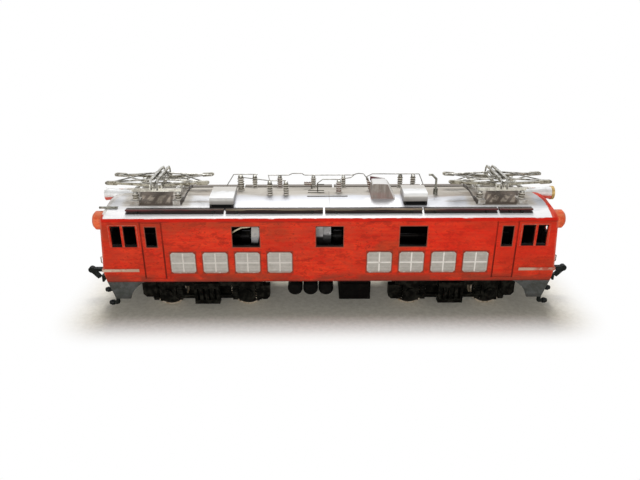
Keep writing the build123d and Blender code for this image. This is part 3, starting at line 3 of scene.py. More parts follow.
import bmesh
import bpy
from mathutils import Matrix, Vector


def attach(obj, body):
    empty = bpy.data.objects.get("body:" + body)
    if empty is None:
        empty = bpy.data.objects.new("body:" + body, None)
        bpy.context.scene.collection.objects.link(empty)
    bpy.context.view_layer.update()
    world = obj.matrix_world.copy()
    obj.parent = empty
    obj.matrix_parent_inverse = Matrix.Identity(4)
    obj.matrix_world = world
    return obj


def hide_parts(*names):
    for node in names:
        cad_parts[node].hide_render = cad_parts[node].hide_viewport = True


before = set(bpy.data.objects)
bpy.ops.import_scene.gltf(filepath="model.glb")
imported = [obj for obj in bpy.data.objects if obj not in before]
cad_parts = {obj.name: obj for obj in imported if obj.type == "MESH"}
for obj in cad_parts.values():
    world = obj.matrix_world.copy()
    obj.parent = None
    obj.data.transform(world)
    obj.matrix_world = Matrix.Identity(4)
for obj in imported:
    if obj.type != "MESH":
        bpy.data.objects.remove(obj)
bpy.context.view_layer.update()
scene = bpy.context.scene

# A railway modeller's hand-painted electric locomotive. Sizes are in
# millimetres, turned into metres where meshes and shaders are made, and angles
# in degrees. +X runs along the track, -Y is the near side, the rail head lies
# at height 0.
MM = 0.001
HALF_LENGTH = 85.9
HALF_WIDTH = 17.5
WAIST = 18.8
EAVES = 40.4
CROWN = 44.9
FRONT_NOSE = 2.3
FRONT_RAKE = 4.3
UNDERCUT = 0.9 / 4.3
ROOF_RADIUS = (HALF_WIDTH**2 + (CROWN - EAVES) ** 2) / (2 * (CROWN - EAVES))
BROW_RADIUS = 6.6
BOGIE_PLACE = 48.0
WHEELBASE = 31.25
AXLE_HEIGHT = 7.2
COLLECTOR_PLACE = 65.0
ENDS = (("1", -1), ("2", 1))
# Openings in the sides, alike on both halves: middle along X and half width
SIDE_WINDOWS = ((31.2, 5.1), (0.0, 5.1))
DOOR_WINDOWS = ((66.35, 2.05),)
CAB_WINDOWS = ((79.2, 1.8), (74.05, 2.25))
CAB_WINDOW_HEIGHT = 33.3
DOOR_JOINTS = (62.2, 70.0)
GRILLE_FIRST = 18.8
GRILLE_PITCH = 12.16
GRILLE_HEIGHT = 22.55
GRILLE_HALF_WIDTH = 4.65
GRILLE_HALF_HEIGHT = 4.25
# Pitch of the pressed lines over a grille's panes
PRESSED_LINES = 1.2238
# Running boards: gaps between them along X, and their inner edge
BOARD_GAPS = (-38.8, -2.1, 34.7, 62.6)
BOARD_EDGE = 14.3


def roof_height(y):
    """Height of the roof's outer face at the side distance y."""
    return CROWN - ROOF_RADIUS + (ROOF_RADIUS**2 - y**2) ** 0.5


def front_place(y, z):
    """Distance of a front's outer face from the middle of the body."""
    ahead = FRONT_NOSE * (1 - abs(y) / HALF_WIDTH)
    if z > WAIST:
        return HALF_LENGTH + ahead - (z - WAIST) * tan(radians(FRONT_RAKE))
    return HALF_LENGTH + ahead - UNDERCUT * (WAIST - z)


# Finishes
def paint(tone):
    """Shader's colour for red, green and blue on the 0-255 scale; others pass as they are."""
    if not isinstance(tone, tuple) or len(tone) != 3:
        return tone
    mixed = []
    for part in tone:
        part = part / 255
        mixed.append(part / 12.92 if part <= 0.04045 else ((part + 0.055) / 1.055) ** 2.4)
    return (*mixed, 1.0)


class Reading:
    """A value read off a surface, ready for arithmetic."""

    def __init__(self, tree, socket):
        self.tree = tree
        self.socket = socket

    def maths(self, operation, *terms):
        return self.tree.node("ShaderNodeMath", {"operation": operation}, dict(enumerate(terms)))

    def __add__(self, other):
        return self.maths("ADD", self, other)

    __radd__ = __add__

    def __sub__(self, other):
        return self.maths("SUBTRACT", self, other)

    def __rsub__(self, other):
        return self.maths("SUBTRACT", other, self)

    def __mul__(self, other):
        return self.maths("MULTIPLY", self, other)

    __rmul__ = __mul__

    def __truediv__(self, other):
        return self.maths("DIVIDE", self, other)

    def __pow__(self, power):
        return self.maths("POWER", self, power)

    def __abs__(self):
        return self.maths("ABSOLUTE", self)

    def above(self, edge, soft):
        """1 where the reading is above the edge, 0 below it."""
        smooth = {"interpolation_type": "SMOOTHSTEP"}
        values = {"Value": self, "From Min": edge - soft, "From Max": edge + soft}
        return self.tree.node("ShaderNodeMapRange", smooth, values)

    def below(self, edge, soft):
        return 1 - self.above(edge, soft)

    def between(self, low, high, soft):
        return self.above(low, soft) * self.below(high, soft)

    def from_nearest(self, pitch):
        """Distance from the nearest multiple of the pitch."""
        return self.maths("PINGPONG", self, pitch / 2)

    def lower_of(self, other):
        return self.maths("MINIMUM", self, other)

    def higher_of(self, other):
        return self.maths("MAXIMUM", self, other)


def lowest(readings):
    """The lowest of several readings."""
    low = readings[0]
    for reading in readings[1:]:
        low = low.lower_of(reading)
    return low


class Tree:
    """A shader's node tree, built up one node at a time."""

    def __init__(self, owner):
        owner.use_nodes = True
        self.nodes = owner.node_tree.nodes
        self.links = owner.node_tree.links

    def node(self, kind, settings=(), values=(), output=0):
        made = self.nodes.new(kind)
        for setting, value in dict(settings).items():
            setattr(made, setting, value)
        for socket, value in dict(values).items():
            self.feed(made.inputs[socket], value)
        return Reading(self, made.outputs[output])

    def feed(self, socket, value):
        if isinstance(value, Reading):
            self.links.new(value.socket, socket)
        else:
            socket.default_value = value


class Coat(Tree):
    """One coat of paint, metal or rubber and what varies over its surface."""

    def __init__(self, name, colour, specular=0.5, **even):
        self.material = bpy.data.materials.new(name)
        super().__init__(self.material)
        self.shader = self.nodes["Principled BSDF"]
        self.colour = colour
        for socket, value in {"Specular_IOR_Level": specular, **even}.items():
            self.feed(self.shader.inputs[socket.replace("_", " ")], value)
        self.place = self.node("ShaderNodeTexCoord", output="Object")
        axes = [self.node("ShaderNodeSeparateXYZ", {}, {0: self.place}, axis) for axis in "XYZ"]
        # Lengths over the surface are read in millimetres
        self.axes = self.x, self.y, self.z = [axis * 1000 for axis in axes]

    def clouds(self, size, stretch=(1, 1, 1), detail=4.0, roughness=0.6, shift=0.0):
        """Soft random patches about size millimetres across, closer where stretch is more."""
        spot = self.place
        for operation, by in (("MULTIPLY", stretch), ("ADD", (shift,) * 3)):
            spot = self.node("ShaderNodeVectorMath", {"operation": operation}, {0: spot, 1: by})
        values = {"Vector": spot, "Scale": 1000 / size, "Detail": detail, "Roughness": roughness}
        return self.node("ShaderNodeTexNoise", {}, values)

    def grain(self, size, shift=0.0):
        """Plain soft patches with little detail."""
        return self.clouds(size, detail=2.0, roughness=0.5, shift=shift)

    def blend(self, mask, under, over):
        """The over colour where the mask is 1, the under colour where it is 0."""
        values = {0: mask, 6: paint(under), 7: paint(over)}
        return self.node("ShaderNodeMix", {"data_type": "RGBA"}, values, 2)

    def daub(self, mask, *tone):
        """Lays a colour, given as one value or three, where the mask is 1."""
        self.colour = self.blend(mask, self.colour, tone if len(tone) == 3 else tone[0])

    def lay(self, roughness=None, relief=None, depth=0.05, metallic=None):
        """Gives the shader the worked-out colour, roughness, metal and relief."""
        finish = {"Base Color": self.colour, "Roughness": roughness, "Metallic": metallic}
        for socket, value in finish.items():
            if value is not None:
                self.feed(self.shader.inputs[socket], value)
        if relief is not None:
            height = {"Height": relief, "Distance": depth * MM}
            self.feed(self.shader.inputs["Normal"], self.node("ShaderNodeBump", {}, height))
        return self

    def outside_of(self, openings, height, half_height):
        """Distance outside the nearest of some openings, below 0 within one."""
        across = lowest([abs(abs(self.x) - middle) - half for middle, half in openings])
        return across.higher_of(abs(self.z - height) - half_height)

    def from_grille(self):
        """Distance along X from the middle of the nearest grille."""
        return (abs(self.x) - GRILLE_FIRST).from_nearest(GRILLE_PITCH)

    def outside_grille(self):
        """Distance outside the nearest grille, below 0 within it."""
        up = abs(self.z - GRILLE_HEIGHT) - GRILLE_HALF_HEIGHT
        return (self.from_grille() - GRILLE_HALF_WIDTH).higher_of(up)

    def raked_back(self):
        """How far the rake has taken the fronts back at this height."""
        return (self.z - WAIST).higher_of(0) * tan(radians(FRONT_RAKE))

    def under_skin(self):
        """Depth below the outer skin of the fronts and the roof."""
        ahead = FRONT_NOSE * (1 - abs(self.y) / HALF_WIDTH)
        back = abs(self.x) - (HALF_LENGTH - BROW_RADIUS) - ahead + self.raked_back()
        back = back.higher_of(0)
        sag = self.y * self.y / (2 * ROOF_RADIUS)
        up = (self.z + sag - (CROWN - BROW_RADIUS)).higher_of(0)
        return BROW_RADIUS - (back * back + up * up) ** 0.5

    def inner_faces(self):
        """1 on the inside of the body's walls, fronts and roof."""
        return abs(self.y).below(16.88, 0.06) * self.under_skin().above(0.45, 0.08)


RED = (224, 46, 24)
DARK_RED = (190, 38, 20)
SILVER = (240, 240, 242)
ROOF_TONE = (191, 193, 199)
SHADE_BLACK = (9, 8, 8)


def red_enamel():
    """Brushed orange-red enamel, silver at the eaves, with painted shade in black inside."""
    coat = Coat("red_enamel", RED, 0.14)
    x, y, z = coat.axes
    strokes = coat.clouds(1.1, (0.11, 1, 1))
    slants = coat.clouds(1.6, (0.35, 1, 0.6), 4.0, 0.7, 0.5)
    pools = coat.clouds(8.0, (0.6, 1, 1))
    fine = coat.clouds(0.9, (0.5, 1, 1), 3.0, 0.65)
    coat.daub(strokes.above(0.5, 0.14), 236, 66, 34)
    coat.daub(pools.above(0.52, 0.12) * 0.5, DARK_RED)
    coat.daub(slants.above(0.55, 0.06) * 0.5, 196, 62, 40)
    coat.daub(slants.below(0.43, 0.05) * 0.6, 168, 38, 22)
    brown = coat.clouds(14.0, (0.5, 1, 1.2), 3.0, 0.5, 0.31).above(0.58, 0.06)
    coat.daub(brown * 0.42, 150, 66, 36)
    coat.daub(fine.below(0.37, 0.06) * 0.4, 150, 40, 26)
    specks = coat.clouds(0.6, (0.6, 1, 1), 2.0, 0.5, 0.7).above(0.66, 0.03)
    specks = specks * coat.clouds(6.0, detail=1.0, roughness=0.5, shift=0.9).above(0.46, 0.08)
    coat.daub(specks * 0.45, 100, 28, 20)
    # The ends of the body are browner than its middle
    cloudy = coat.clouds(7.0, detail=3.0, roughness=0.5, shift=0.2).above(0.42, 0.12)
    coat.daub(abs(x).above(58.0, 6.0) * cloudy * 0.4, 176, 46, 26)
    # Towards end 2 the upper half is a clearer red
    coat.daub(x.above(30.0, 12.0) * z.above(24.0, 4.0) * 0.3, 240, 34, 16)
    # Painted shade in a deep red band below the eaves, and dirt along the sill
    coat.daub(z.between(39.0, 40.3, 0.25) * 0.85, 214, 22, 3)
    drips = coat.clouds(3.0, (0.3, 1, 1), 3.0, 0.5).above(0.5, 0.08)
    coat.daub(z.between(38.6, 39.3, 0.25) * drips * 0.5, 124, 34, 20)
    sill_wear = coat.clouds(4.0, (0.3, 1, 1), 4.0, 0.65, 0.6).above(0.45, 0.1)
    coat.daub(z.below(17.2, 1.2) * sill_wear * 0.75, 132, 58, 42)
    coat.daub(z.below(14.9, 0.16) * 0.7, 96, 40, 34)
    # Dark joints beside the doors, strongest low down
    side_face = abs(y).above(17.0, 0.05)
    door = abs(abs(x) - sum(DOOR_JOINTS) / 2)
    edge = abs(door - (DOOR_JOINTS[1] - DOOR_JOINTS[0]) / 2).below(0.26, 0.08)
    joint = edge * z.between(15.8, 39.0, 0.3) * side_face
    coat.daub(joint * (0.45 + 0.4 * z.below(30.0, 1.0)), 112, 32, 22)
    # Dull edges round the window openings, and painted shade in black within them
    chips = coat.clouds(1.6, detail=3.0, shift=0.15)
    panes = ((SIDE_WINDOWS, 32.97, 4.08), (DOOR_WINDOWS, 32.95, 4.05))
    panes += ((CAB_WINDOWS, CAB_WINDOW_HEIGHT, 4.0),)
    pane = lowest([coat.outside_of(*opening) for opening in panes])
    coat.daub(pane.below(0.3, 0.1) * side_face * (0.4 + 0.6 * chips), 132, 84, 68)
    coat.daub(pane.below(0.0, 0.06) * abs(y).above(16.6, 0.05), 12, 9, 9)
    # Painted shadow against the edges of the grilles
    grille_shadow = coat.outside_grille().below(0.45, 0.25) * abs(x).between(13.0, 61.0, 0.5)
    coat.daub(grille_shadow * side_face * (0.3 + 0.7 * chips), 104, 58, 44)
    # Pale edges where the paint has rubbed off round the fronts' corners
    front = HALF_LENGTH - coat.raked_back() - abs(x)
    corner = abs(front).below(0.5, 0.3) * abs(y).above(16.7, 0.5)
    rubbed = coat.clouds(2.4, (1, 1, 0.5), shift=0.1).above(0.46, 0.1)
    coat.daub(corner * rubbed * 0.5, 214, 132, 112)
    # The roof's silver laps over the eaves in a wavy hand-painted edge
    wave = coat.clouds(9.0, (1, 0, 0), 2.0) * 1.5 + coat.clouds(2.2, (1, 0, 0), 1.0, 0.5) * 0.6
    sides = abs(y).above(15.4, 0.4) * x.between(-83.2, 82.2, 0.3)
    coat.daub((z + wave).above(41.45, 0.16) * sides, SILVER)
    # Pale edge where the fronts turn into the roof: worn paint and a painted highlight
    brow = z.above(41.8, 1.4) * coat.clouds(2.4, (1, 0.4, 1), 3.0).above(0.48, 0.1)
    coat.daub(brow * 0.55 * (1 - sides), 226, 138, 118)
    # Silver over the far half of both brows, and over end 1's brow behind its front edge
    far_brow = z.above(40.8, 0.3) * y.above(0.4, 0.4)
    behind = (x + 84.7 - (abs(y) - 4.7) * 0.13 + wave * 0.4).above(0.0, 0.25)
    end_1 = x.below(-70.0, 1.0) * z.above(40.9, 0.1) * y.above(-15.6, 0.3)
    coat.daub(far_brow.higher_of(behind * end_1), 226, 224, 222)
    # Painted shade: black on the inner faces of the walls, fronts and roof
    inside = coat.inner_faces()
    coat.daub(inside, SHADE_BLACK)
    relief = (strokes * 0.7 + slants * 0.4 + fine * 0.3 + pools * 0.8) * (1 - inside) - joint * 1.4
    return coat.lay(0.38 + 0.2 * strokes + 0.22 * inside, relief, 0.12)


def lamp_orange():
    """Brighter orange enamel of the corner lamps, brown where it is thick."""
    coat = Coat("lamp_orange", (226, 84, 42), 0.3)
    pools = coat.clouds(3.6)
    strokes = coat.clouds(0.9, (0.5, 1, 1), shift=0.4)
    coat.daub(strokes.above(0.5, 0.12), 242, 116, 70)
    coat.daub(pools.above(0.56, 0.08) * 0.55, 176, 66, 34)
    far = coat.y.above(0.0, 1.0) * coat.z.above(40.9, 0.3)
    coat.daub(far, 222, 218, 214)
    # Painted highlight: paler over the lamps' tops
    upper = coat.z.above(40.6, 0.8) * pools.above(0.4, 0.1)
    coat.daub(upper * 0.45, 206, 130, 96)
    return coat.lay(0.34 + 0.2 * strokes, pools + strokes * 0.4, 0.1)


def roof_silver():
    """Silver enamel, bright on the near side and dusty beyond the ridge."""
    coat = Coat("roof_silver", ROOF_TONE, 0.25, Metallic=0.25)
    x, y, _ = coat.axes
    streaks = coat.clouds(2.4, (0.14, 1, 1))
    pools = coat.clouds(11.0, (0.5, 1, 1), shift=0.2)
    fine = coat.clouds(0.8, detail=3.0)
    # Dust lies thick beyond the ridge and between the collectors' feet
    far = (y + 4.0 * pools + 2.0 * streaks).above(-0.6, 1.6)
    under = abs(abs(x) - COLLECTOR_PLACE).below(12.5, 1.5) * y.above(-11.5, 1.0)
    dusty = far.higher_of(under * 0.85)
    coat.daub((abs(y) + 2.0 * pools).above(13.6, 1.4), SILVER)
    coat.daub(streaks.below(0.42, 0.06) * 0.4, 196, 200, 208)
    left = x.below(-44.0, 8.0) * y.above(-13.0, 1.0)
    coat.daub(left * (0.5 + 0.5 * pools.below(0.5, 0.2)), 224, 225, 228)
    coat.daub(dusty * 0.9, 200, 194, 184)
    coat.daub(streaks.above(0.54, 0.08) * dusty * 0.6, 166, 158, 146)
    coat.daub(pools.above(0.58, 0.06) * dusty * 0.5, 176, 170, 162)
    coat.daub(fine.above(0.66, 0.04) * (0.12 + 0.3 * dusty), 140, 132, 122)
    # Blotchy painted shadow beneath the collectors, with long brown runs beside it
    collector_shadow = abs(abs(x) - 64.6).below(8.3, 0.9) * y.between(-10.6, -0.4, 0.8)
    blotch = coat.clouds(3.4, (0.8, 1, 1), shift=0.33)
    coat.daub(collector_shadow * blotch.above(0.44, 0.1) * 0.6, 128, 116, 102)
    runs = abs(x).between(36.0, 57.0, 3.0) * y.between(-9.5, 4.0, 2.0)
    runs = runs * coat.clouds(2.0, (0.08, 1, 1), 3.0, 0.6, 0.8).above(0.56, 0.04)
    coat.daub(runs * 0.55, 140, 124, 108)
    # Painted shadows of the collectors' frames, each leaning its own way, with paler lit fields
    # between the bars
    side = x.above(0.0, 1.0)
    lean = (y + 11.0) * (0.57 * side - 0.19)
    frame_shadow_x = x - (side * 129.2 - 65.1) - lean
    frame_shadow = abs(frame_shadow_x).below(6.4, 0.25) * y.between(-11.2, 0.4, 0.4)
    bars = (frame_shadow_x - (y + 6.0) * 0.3).from_nearest(3.9)
    field = bars.above(0.75, 0.35) * y.between(-9.6, -3.4, 0.5) * abs(frame_shadow_x).below(5.4, 0.4)
    worn = coat.clouds(2.0, (1, 0.6, 1), 3.0, 0.6, 0.44)
    coat.daub(frame_shadow * 0.85, coat.blend(worn, (44, 32, 26), (104, 86, 72)))
    coat.daub(frame_shadow * field * (0.1 + 0.9 * worn.above(0.46, 0.1)), 172, 160, 146)
    # Painted shadow, black and maroon, under the running boards, but for the gaps between them
    gap = lowest([abs(x - middle) for middle in BOARD_GAPS]).above(0.35, 0.15)
    below = y.between(-15.6, -12.9, 0.2) * abs(x).below(75.4, 0.2) * gap
    shade = coat.blend(y.above(-14.95, 0.12), (16, 12, 12), (70, 42, 40))
    coat.daub(below * 0.95, shade)
    # Painted shadow on the roof before the ventilators' mouths
    left_vent_shadow = abs(x + 40.3).below(4.1, 0.3) * y.between(-13.5, -9.6, 0.35)
    right_vent_shadow = abs(x - 32.3).below(4.2, 0.2) * y.between(-11.3, -8.2, 0.2)
    coat.daub(left_vent_shadow.higher_of(right_vent_shadow) * 0.95, 16, 13, 12)
    # Painted light on the roof before the quarter hood, over the shadow the hood casts
    coat.daub(x.between(14.0, 26.5, 1.2) * y.between(-12.4, -6.0, 1.0) * 0.7, 226, 226, 228)
    # At end 2 the red of the front comes back over the roof
    wave = coat.clouds(5.0, (0, 1, 1), 2.0, 0.5) * 2.0 + coat.grain(1.4) * 0.6
    front = (x - abs(y + 4.0) * 0.09 + wave).above(82.3, 0.2) * y.below(3.0, 1.0)
    coat.daub(front, coat.blend(fine, (206, 60, 36), (224, 92, 66)))
    # The roof's far edge is dark
    coat.daub(y.above(14.4, 1.2) * 0.85, 96, 90, 82)
    # Painted shade: black on the roof's inner faces
    inside = coat.inner_faces()
    coat.daub(inside, SHADE_BLACK)
    relief = streaks * 0.6 + fine * 0.25
    shine = 0.25 * (1 - dusty.lower_of(1.0) * 0.8) * (1 - front) * (1 - below) * (1 - frame_shadow)
    return coat.lay(0.36 + 0.16 * fine + 0.12 * dusty, relief, 0.07, shine)


def trim_silver():
    """Silver enamel of the ventilators and headlamp casings, with painted shade lower down."""
    coat = Coat("trim_silver", (220, 222, 224), 0.3, Metallic=0.1)
    x, y, z = coat.axes
    brush = coat.clouds(1.6, (0.3, 1, 1))
    film = coat.clouds(4.0)
    coat.daub(brush.above(0.5, 0.14), 236, 238, 240)
    coat.daub(film.above(0.56, 0.08) * 0.4, 186, 184, 180)
    # Painted shade: the ventilators' front faces darken towards the air mouth
    vent = abs(x).between(26.0, 46.0, 0.5)
    coat.daub(vent * z.below(46.7, 0.5) * (0.3 + 0.25 * brush), 140, 134, 128)
    coat.daub(vent * z.below(45.3, 0.9) * 0.5, 96, 90, 86)
    half_2 = x.above(0.0, 1.0)
    coat.daub(vent * half_2 * z.below(47.0, 0.6) * 0.3, 120, 112, 106)
    # Painted shade: black in the air mouths
    low = 44.05 + 0.45 * half_2
    mouth = vent * (low - z).above(0.0, 0.1) * y.below(-8.0, 0.2)
    coat.daub(mouth * 0.97, 14, 11, 10)
    # Their tops carry a painted highlight in front and are greyer behind
    brow = vent * z.above(46.2, 0.3) * y.below(-8.0, 1.0)
    coat.daub(brow * 0.7, 246, 247, 248)
    back = vent * z.above(46.6, 0.2) * (y + 1.2 * film).above(-5.2, 1.2)
    coat.daub(back * 0.85, 196, 192, 186)
    # The headlamps' undersides were brushed over with the body's red
    lamp = abs(x).above(79.5, 0.8) * (z - film * 0.4).below(43.45, 0.25)
    coat.daub(lamp * 0.9, 216, 66, 42)
    shine = 0.15 * (1 - mouth) * (1 - lamp)
    return coat.lay(0.36 + 0.16 * brush, brush + film * 0.4, 0.05, shine)


def pad_silver():
    """Roof pads in dusty silver and the dark gutter strips beside them."""
    coat = Coat("pad_silver", (206, 204, 200))
    film = coat.clouds(1.8)
    coat.daub(film.above(0.5, 0.12), 168, 160, 150)
    strip = abs(coat.x).below(56.0, 0.1)
    coat.daub(strip, coat.blend(film, (36, 30, 28), (84, 74, 66)))
    return coat.lay(0.4 + 0.2 * film, film)


def skirt_grey():
    """Blue-grey enamel of the end skirts, mottled by handling."""
    coat = Coat("skirt_grey", (62, 65, 63), 0.2)
    mottle = coat.clouds(2.6, roughness=0.65)
    grains = coat.grain(0.5)
    coat.daub(mottle.above(0.5, 0.14), 82, 85, 86)
    coat.daub(coat.z.below(8.6, 0.5) * mottle * 0.8, 46, 45, 42)
    coat.daub(grains.above(0.66, 0.04) * 0.4, 112, 112, 110)
    return coat.lay(0.42 + 0.2 * mottle, mottle + grains * 0.4, 0.06)


def stripe_cream():
    """Cream line along the waist, thin enough for the red to show."""
    coat = Coat("stripe_cream", (190, 158, 138), 0.2)
    strokes = coat.clouds(1.4, (0.15, 1, 1))
    wear = coat.clouds(1.0, (0.5, 1, 1), 3.0, 0.6, 0.4)
    coat.daub(strokes.above(0.5, 0.14), 214, 194, 178)
    edge = abs(coat.z - 19.5).above(0.5, 0.12) + wear.above(0.64, 0.05)
    coat.daub(edge.lower_of(1.0) * 0.6, 188, 92, 70)
    thin = coat.x.above(78.5, 2.0) * (0.45 + 0.55 * wear.above(0.46, 0.06))
    coat.daub(thin * 0.85, 182, 70, 50)
    return coat.lay(0.4 + 0.15 * strokes, strokes)


def frame_edge():
    """Red frames of the cab windows, with thin pale lines round them."""
    coat = Coat("window_line", (204, 44, 24), 0.12)
    x, _, z = coat.axes
    wear = coat.clouds(1.2, detail=3.0)
    coat.daub(wear.above(0.5, 0.1), 212, 66, 42)
    # Pale lines along the head and outer edges, and a pale post between the panes
    across = abs(abs(x) - 76.5)
    head = z.above(37.72, 0.1) * 0.6
    post = abs(abs(x) - 76.05).below(0.42, 0.12) * 0.8
    outer = across.above(5.2, 0.08).higher_of(z.below(29.25, 0.08)) * 0.5
    pale = coat.blend(wear, (150, 92, 70), (216, 160, 140))
    coat.daub(head.higher_of(post).higher_of(outer) * (0.35 + 0.65 * wear), pale)
    # Painted shade: black round the edges of the panes
    pane = coat.outside_of(CAB_WINDOWS, CAB_WINDOW_HEIGHT, 4.15)
    coat.daub(pane.below(0.08, 0.06), 10, 7, 7)
    return coat.lay(0.4 + 0.1 * wear, wear, 0.04)


def grille_silver():
    """Silver-grey grilles: pressed panes between a brighter rim and cross."""
    coat = Coat("grille_silver", (166, 163, 158), 0.25, Metallic=0.1)
    weave = coat.clouds(1.8)
    # The wave texture goes round 20 radians in each unit of its scale
    waves = {"Vector": coat.place, "Scale": 100 * pi / PRESSED_LINES, "Distortion": 0.4}
    lines = coat.node("ShaderNodeTexWave", {"bands_direction": "Z"}, waves)
    pane = abs(coat.y).below(17.72, 0.03)
    coat.daub(weave.above(0.5, 0.14), 184, 181, 177)
    coat.daub(lines * pane * 0.35, 142, 138, 132)
    coat.daub((1 - pane) * 0.8, 208, 204, 200)
    # A bright cross on the grilles of the right half, a duller one on the left
    level = abs(coat.z - GRILLE_HEIGHT).below(0.26, 0.05)
    cross = coat.from_grille().below(0.26, 0.05).higher_of(level)
    bright = cross * (0.35 + 0.6 * coat.x.above(0.0, 1.0)) * weave.above(0.36, 0.08)
    coat.daub(bright, 240, 238, 236)
    # Painted shadow: a darker line round the edge of each grille
    grille_rim_shadow = coat.outside_grille().above(-0.34, 0.12)
    coat.daub(grille_rim_shadow * weave.above(0.42, 0.12) * 0.5, 132, 118, 110)
    low_dirt = coat.z.below(18.9, 0.3) * weave.above(0.4, 0.1)
    coat.daub(low_dirt * 0.5, 150, 92, 74)
    return coat.lay(0.4 + 0.14 * weave, lines * pane + weave * 0.4)


def board_paint():
    """Running boards: a dark tread, a maroon and olive edge and an underside painted black as
    shade.
    """
    coat = Coat("board_paint", (66, 60, 58), 0.2)
    x, y, z = coat.axes
    scuffs = coat.clouds(2.6, (0.12, 1, 1), 4.0, 0.65)
    length = coat.clouds(30.0, (1, 0, 0), 2.0, 0.5)
    fine = coat.clouds(0.7, (0.4, 1, 1), 3.0)
    across = BOARD_EDGE - abs(y)
    coat.daub(scuffs.above(0.5, 0.12), 98, 92, 88)
    ends = abs(x).above(40.0, 6.0)
    maroon = coat.blend(scuffs, (96, 34, 36), (66, 26, 30))
    olive = coat.blend(scuffs.above(0.5, 0.1), (92, 84, 66), (150, 122, 94))
    edge_paint = coat.blend(ends * length.above(0.4, 0.1), olive, maroon)
    coat.daub(across.below(-0.35, 0.3) * 0.85, edge_paint)
    coat.daub(across.above(0.5, 0.12), 34, 29, 29)
    coat.daub(fine.above(0.64, 0.05) * 0.4, 150, 142, 136)
    face = across.below(-1.2, 0.06) * z.between(42.6, 42.97, 0.05) * y.below(0.0, 1.0)
    streak = coat.clouds(6.0, (0.5, 1, 1), 3.0, 0.6, 0.27)
    edge_tone = coat.blend(ends, (112, 102, 88), (92, 32, 34))
    coat.daub(face, coat.blend(streak.above(0.46, 0.1), (40, 30, 30), edge_tone))
    # Painted shade: black on the undersides
    coat.daub(z.below(42.62, 0.05), 18, 14, 15)
    far = y.above(0.0, 1.0) * z.above(42.5, 0.04)
    coat.daub(far * 0.75, coat.blend(length, (172, 166, 158), (112, 104, 98)))
    # The brackets below the boards are painted black as shade
    coat.daub(z.below(42.5, 0.04), 20, 17, 17)
    return coat.lay(0.4 + 0.2 * scuffs, scuffs + fine * 0.5, 0.08)


def soot_black(name, shade, dust, gloss, dust_share=0.45):
    """Black paint with dust in the hollows and rubbed spots."""
    coat = Coat(name, shade, 0.04)
    patches = coat.clouds(2.4, detail=5.0, roughness=0.65)
    grains = coat.clouds(0.5, detail=3.0)
    coat.daub(patches.above(0.54, 0.1) * dust_share, dust)
    coat.daub(grains.above(0.66, 0.04) * 0.5 * dust_share, 64, 60, 54)
    return coat.lay(gloss - 0.08 + 0.2 * patches, patches * 0.6 + grains * 0.5, 0.08)


def wheel_metal():
    """Wheels with bright worn treads and flanges and dark faces."""
    coat = Coat("wheel_metal", (8, 8, 8), 0.2)
    wear = coat.clouds(1.2)
    arcs = coat.grain(5.0, 0.4)
    outer = abs(coat.y).above(9.62, 0.03)
    # Distance from the nearest axle
    along = abs(abs(coat.x) - BOGIE_PLACE) - WHEELBASE / 2
    up = coat.z - AXLE_HEIGHT
    spoke = (along * along + up * up) ** 0.5
    rim = spoke.above(6.15, 0.1) * arcs.above(0.36, 0.08)
    tread = coat.blend(wear.above(0.55, 0.12), (226, 214, 198), (160, 138, 112))
    bright = (1 - outer).higher_of(rim)
    coat.daub(wear, 20, 18, 16)
    coat.daub(bright, tread)
    return coat.lay(0.24 + 0.3 * wear, wear, 0.03, bright * 0.95)


def motor_grey():
    """Grey moulded motor, with painted shade in black low down and a painted highlight on one end.
    """
    coat = Coat("motor_grey", (206, 204, 204), 0.25)
    smear = coat.clouds(3.0)
    fine = coat.grain(0.6)
    coat.daub(smear.above(0.5, 0.12), 232, 231, 231)
    # Painted shade: black below this height, lower at the end with the shaft's seat
    low = 29.3 - 3.0 * coat.x.below(-27.6, 0.3)
    coat.daub((low - coat.z).above(0.0, 0.5) * 0.98, SHADE_BLACK)
    # Painted highlight over the upper part of the end with the shaft's seat, in patches
    end = coat.x.below(-27.6, 0.3) * coat.z.above(28.4, 0.4) * smear.above(0.42, 0.06)
    coat.daub(end * 0.8, 238, 232, 224)
    coat.daub(fine.above(0.66, 0.03) * 0.6, 60, 58, 56)
    return coat.lay(0.34 + 0.2 * smear, fine, 0.04)


def plastic(name, shade, worn):
    """Moulded plastic with a fine grain and rubbed edges."""
    coat = Coat(name, shade, 0.12)
    mottle = coat.clouds(1.8)
    grain = coat.grain(0.3)
    coat.daub(mottle.above(0.55, 0.12) * 0.7, worn)
    coat.daub(grain.above(0.66, 0.04) * 0.3, worn)
    return coat.lay(0.34 + 0.16 * mottle, grain + mottle * 0.3, 0.03)


def metal(name, shade, tarnish, gloss, share=0.7, spot=2.2):
    """Bright metal with tarnish that gathers in spots."""
    coat = Coat(name, shade, Metallic=1.0)
    film = coat.clouds(spot, detail=5.0, roughness=0.65)
    pits = coat.grain(0.35)
    coat.daub(film.above(0.52, 0.12) * share, tarnish)
    coat.daub(pits.above(0.68, 0.03) * 0.6, 60, 52, 42)
    return coat.lay(gloss - 0.06 + 0.3 * film, pits, 0.02, 0.96 - 0.4 * film.above(0.6, 0.08))


def glaze(name, shade, dark):
    """Fired glaze of the roof insulators, dusty between the sheds."""
    coat = Coat(name, shade, 0.3)
    film = coat.clouds(0.9)
    coat.daub(film.above(0.5, 0.12), dark)
    coat.daub(film.above(0.62, 0.05) * 0.5, 176, 168, 150)
    # Silver bands at even steps up the insulators, round some of the sheds
    band = coat.z.from_nearest(0.9).below(0.2, 0.05)
    coat.daub(band * (0.6 + 0.4 * film), 236, 232, 224)
    return coat.lay(0.26 + 0.3 * film, film, 0.03)


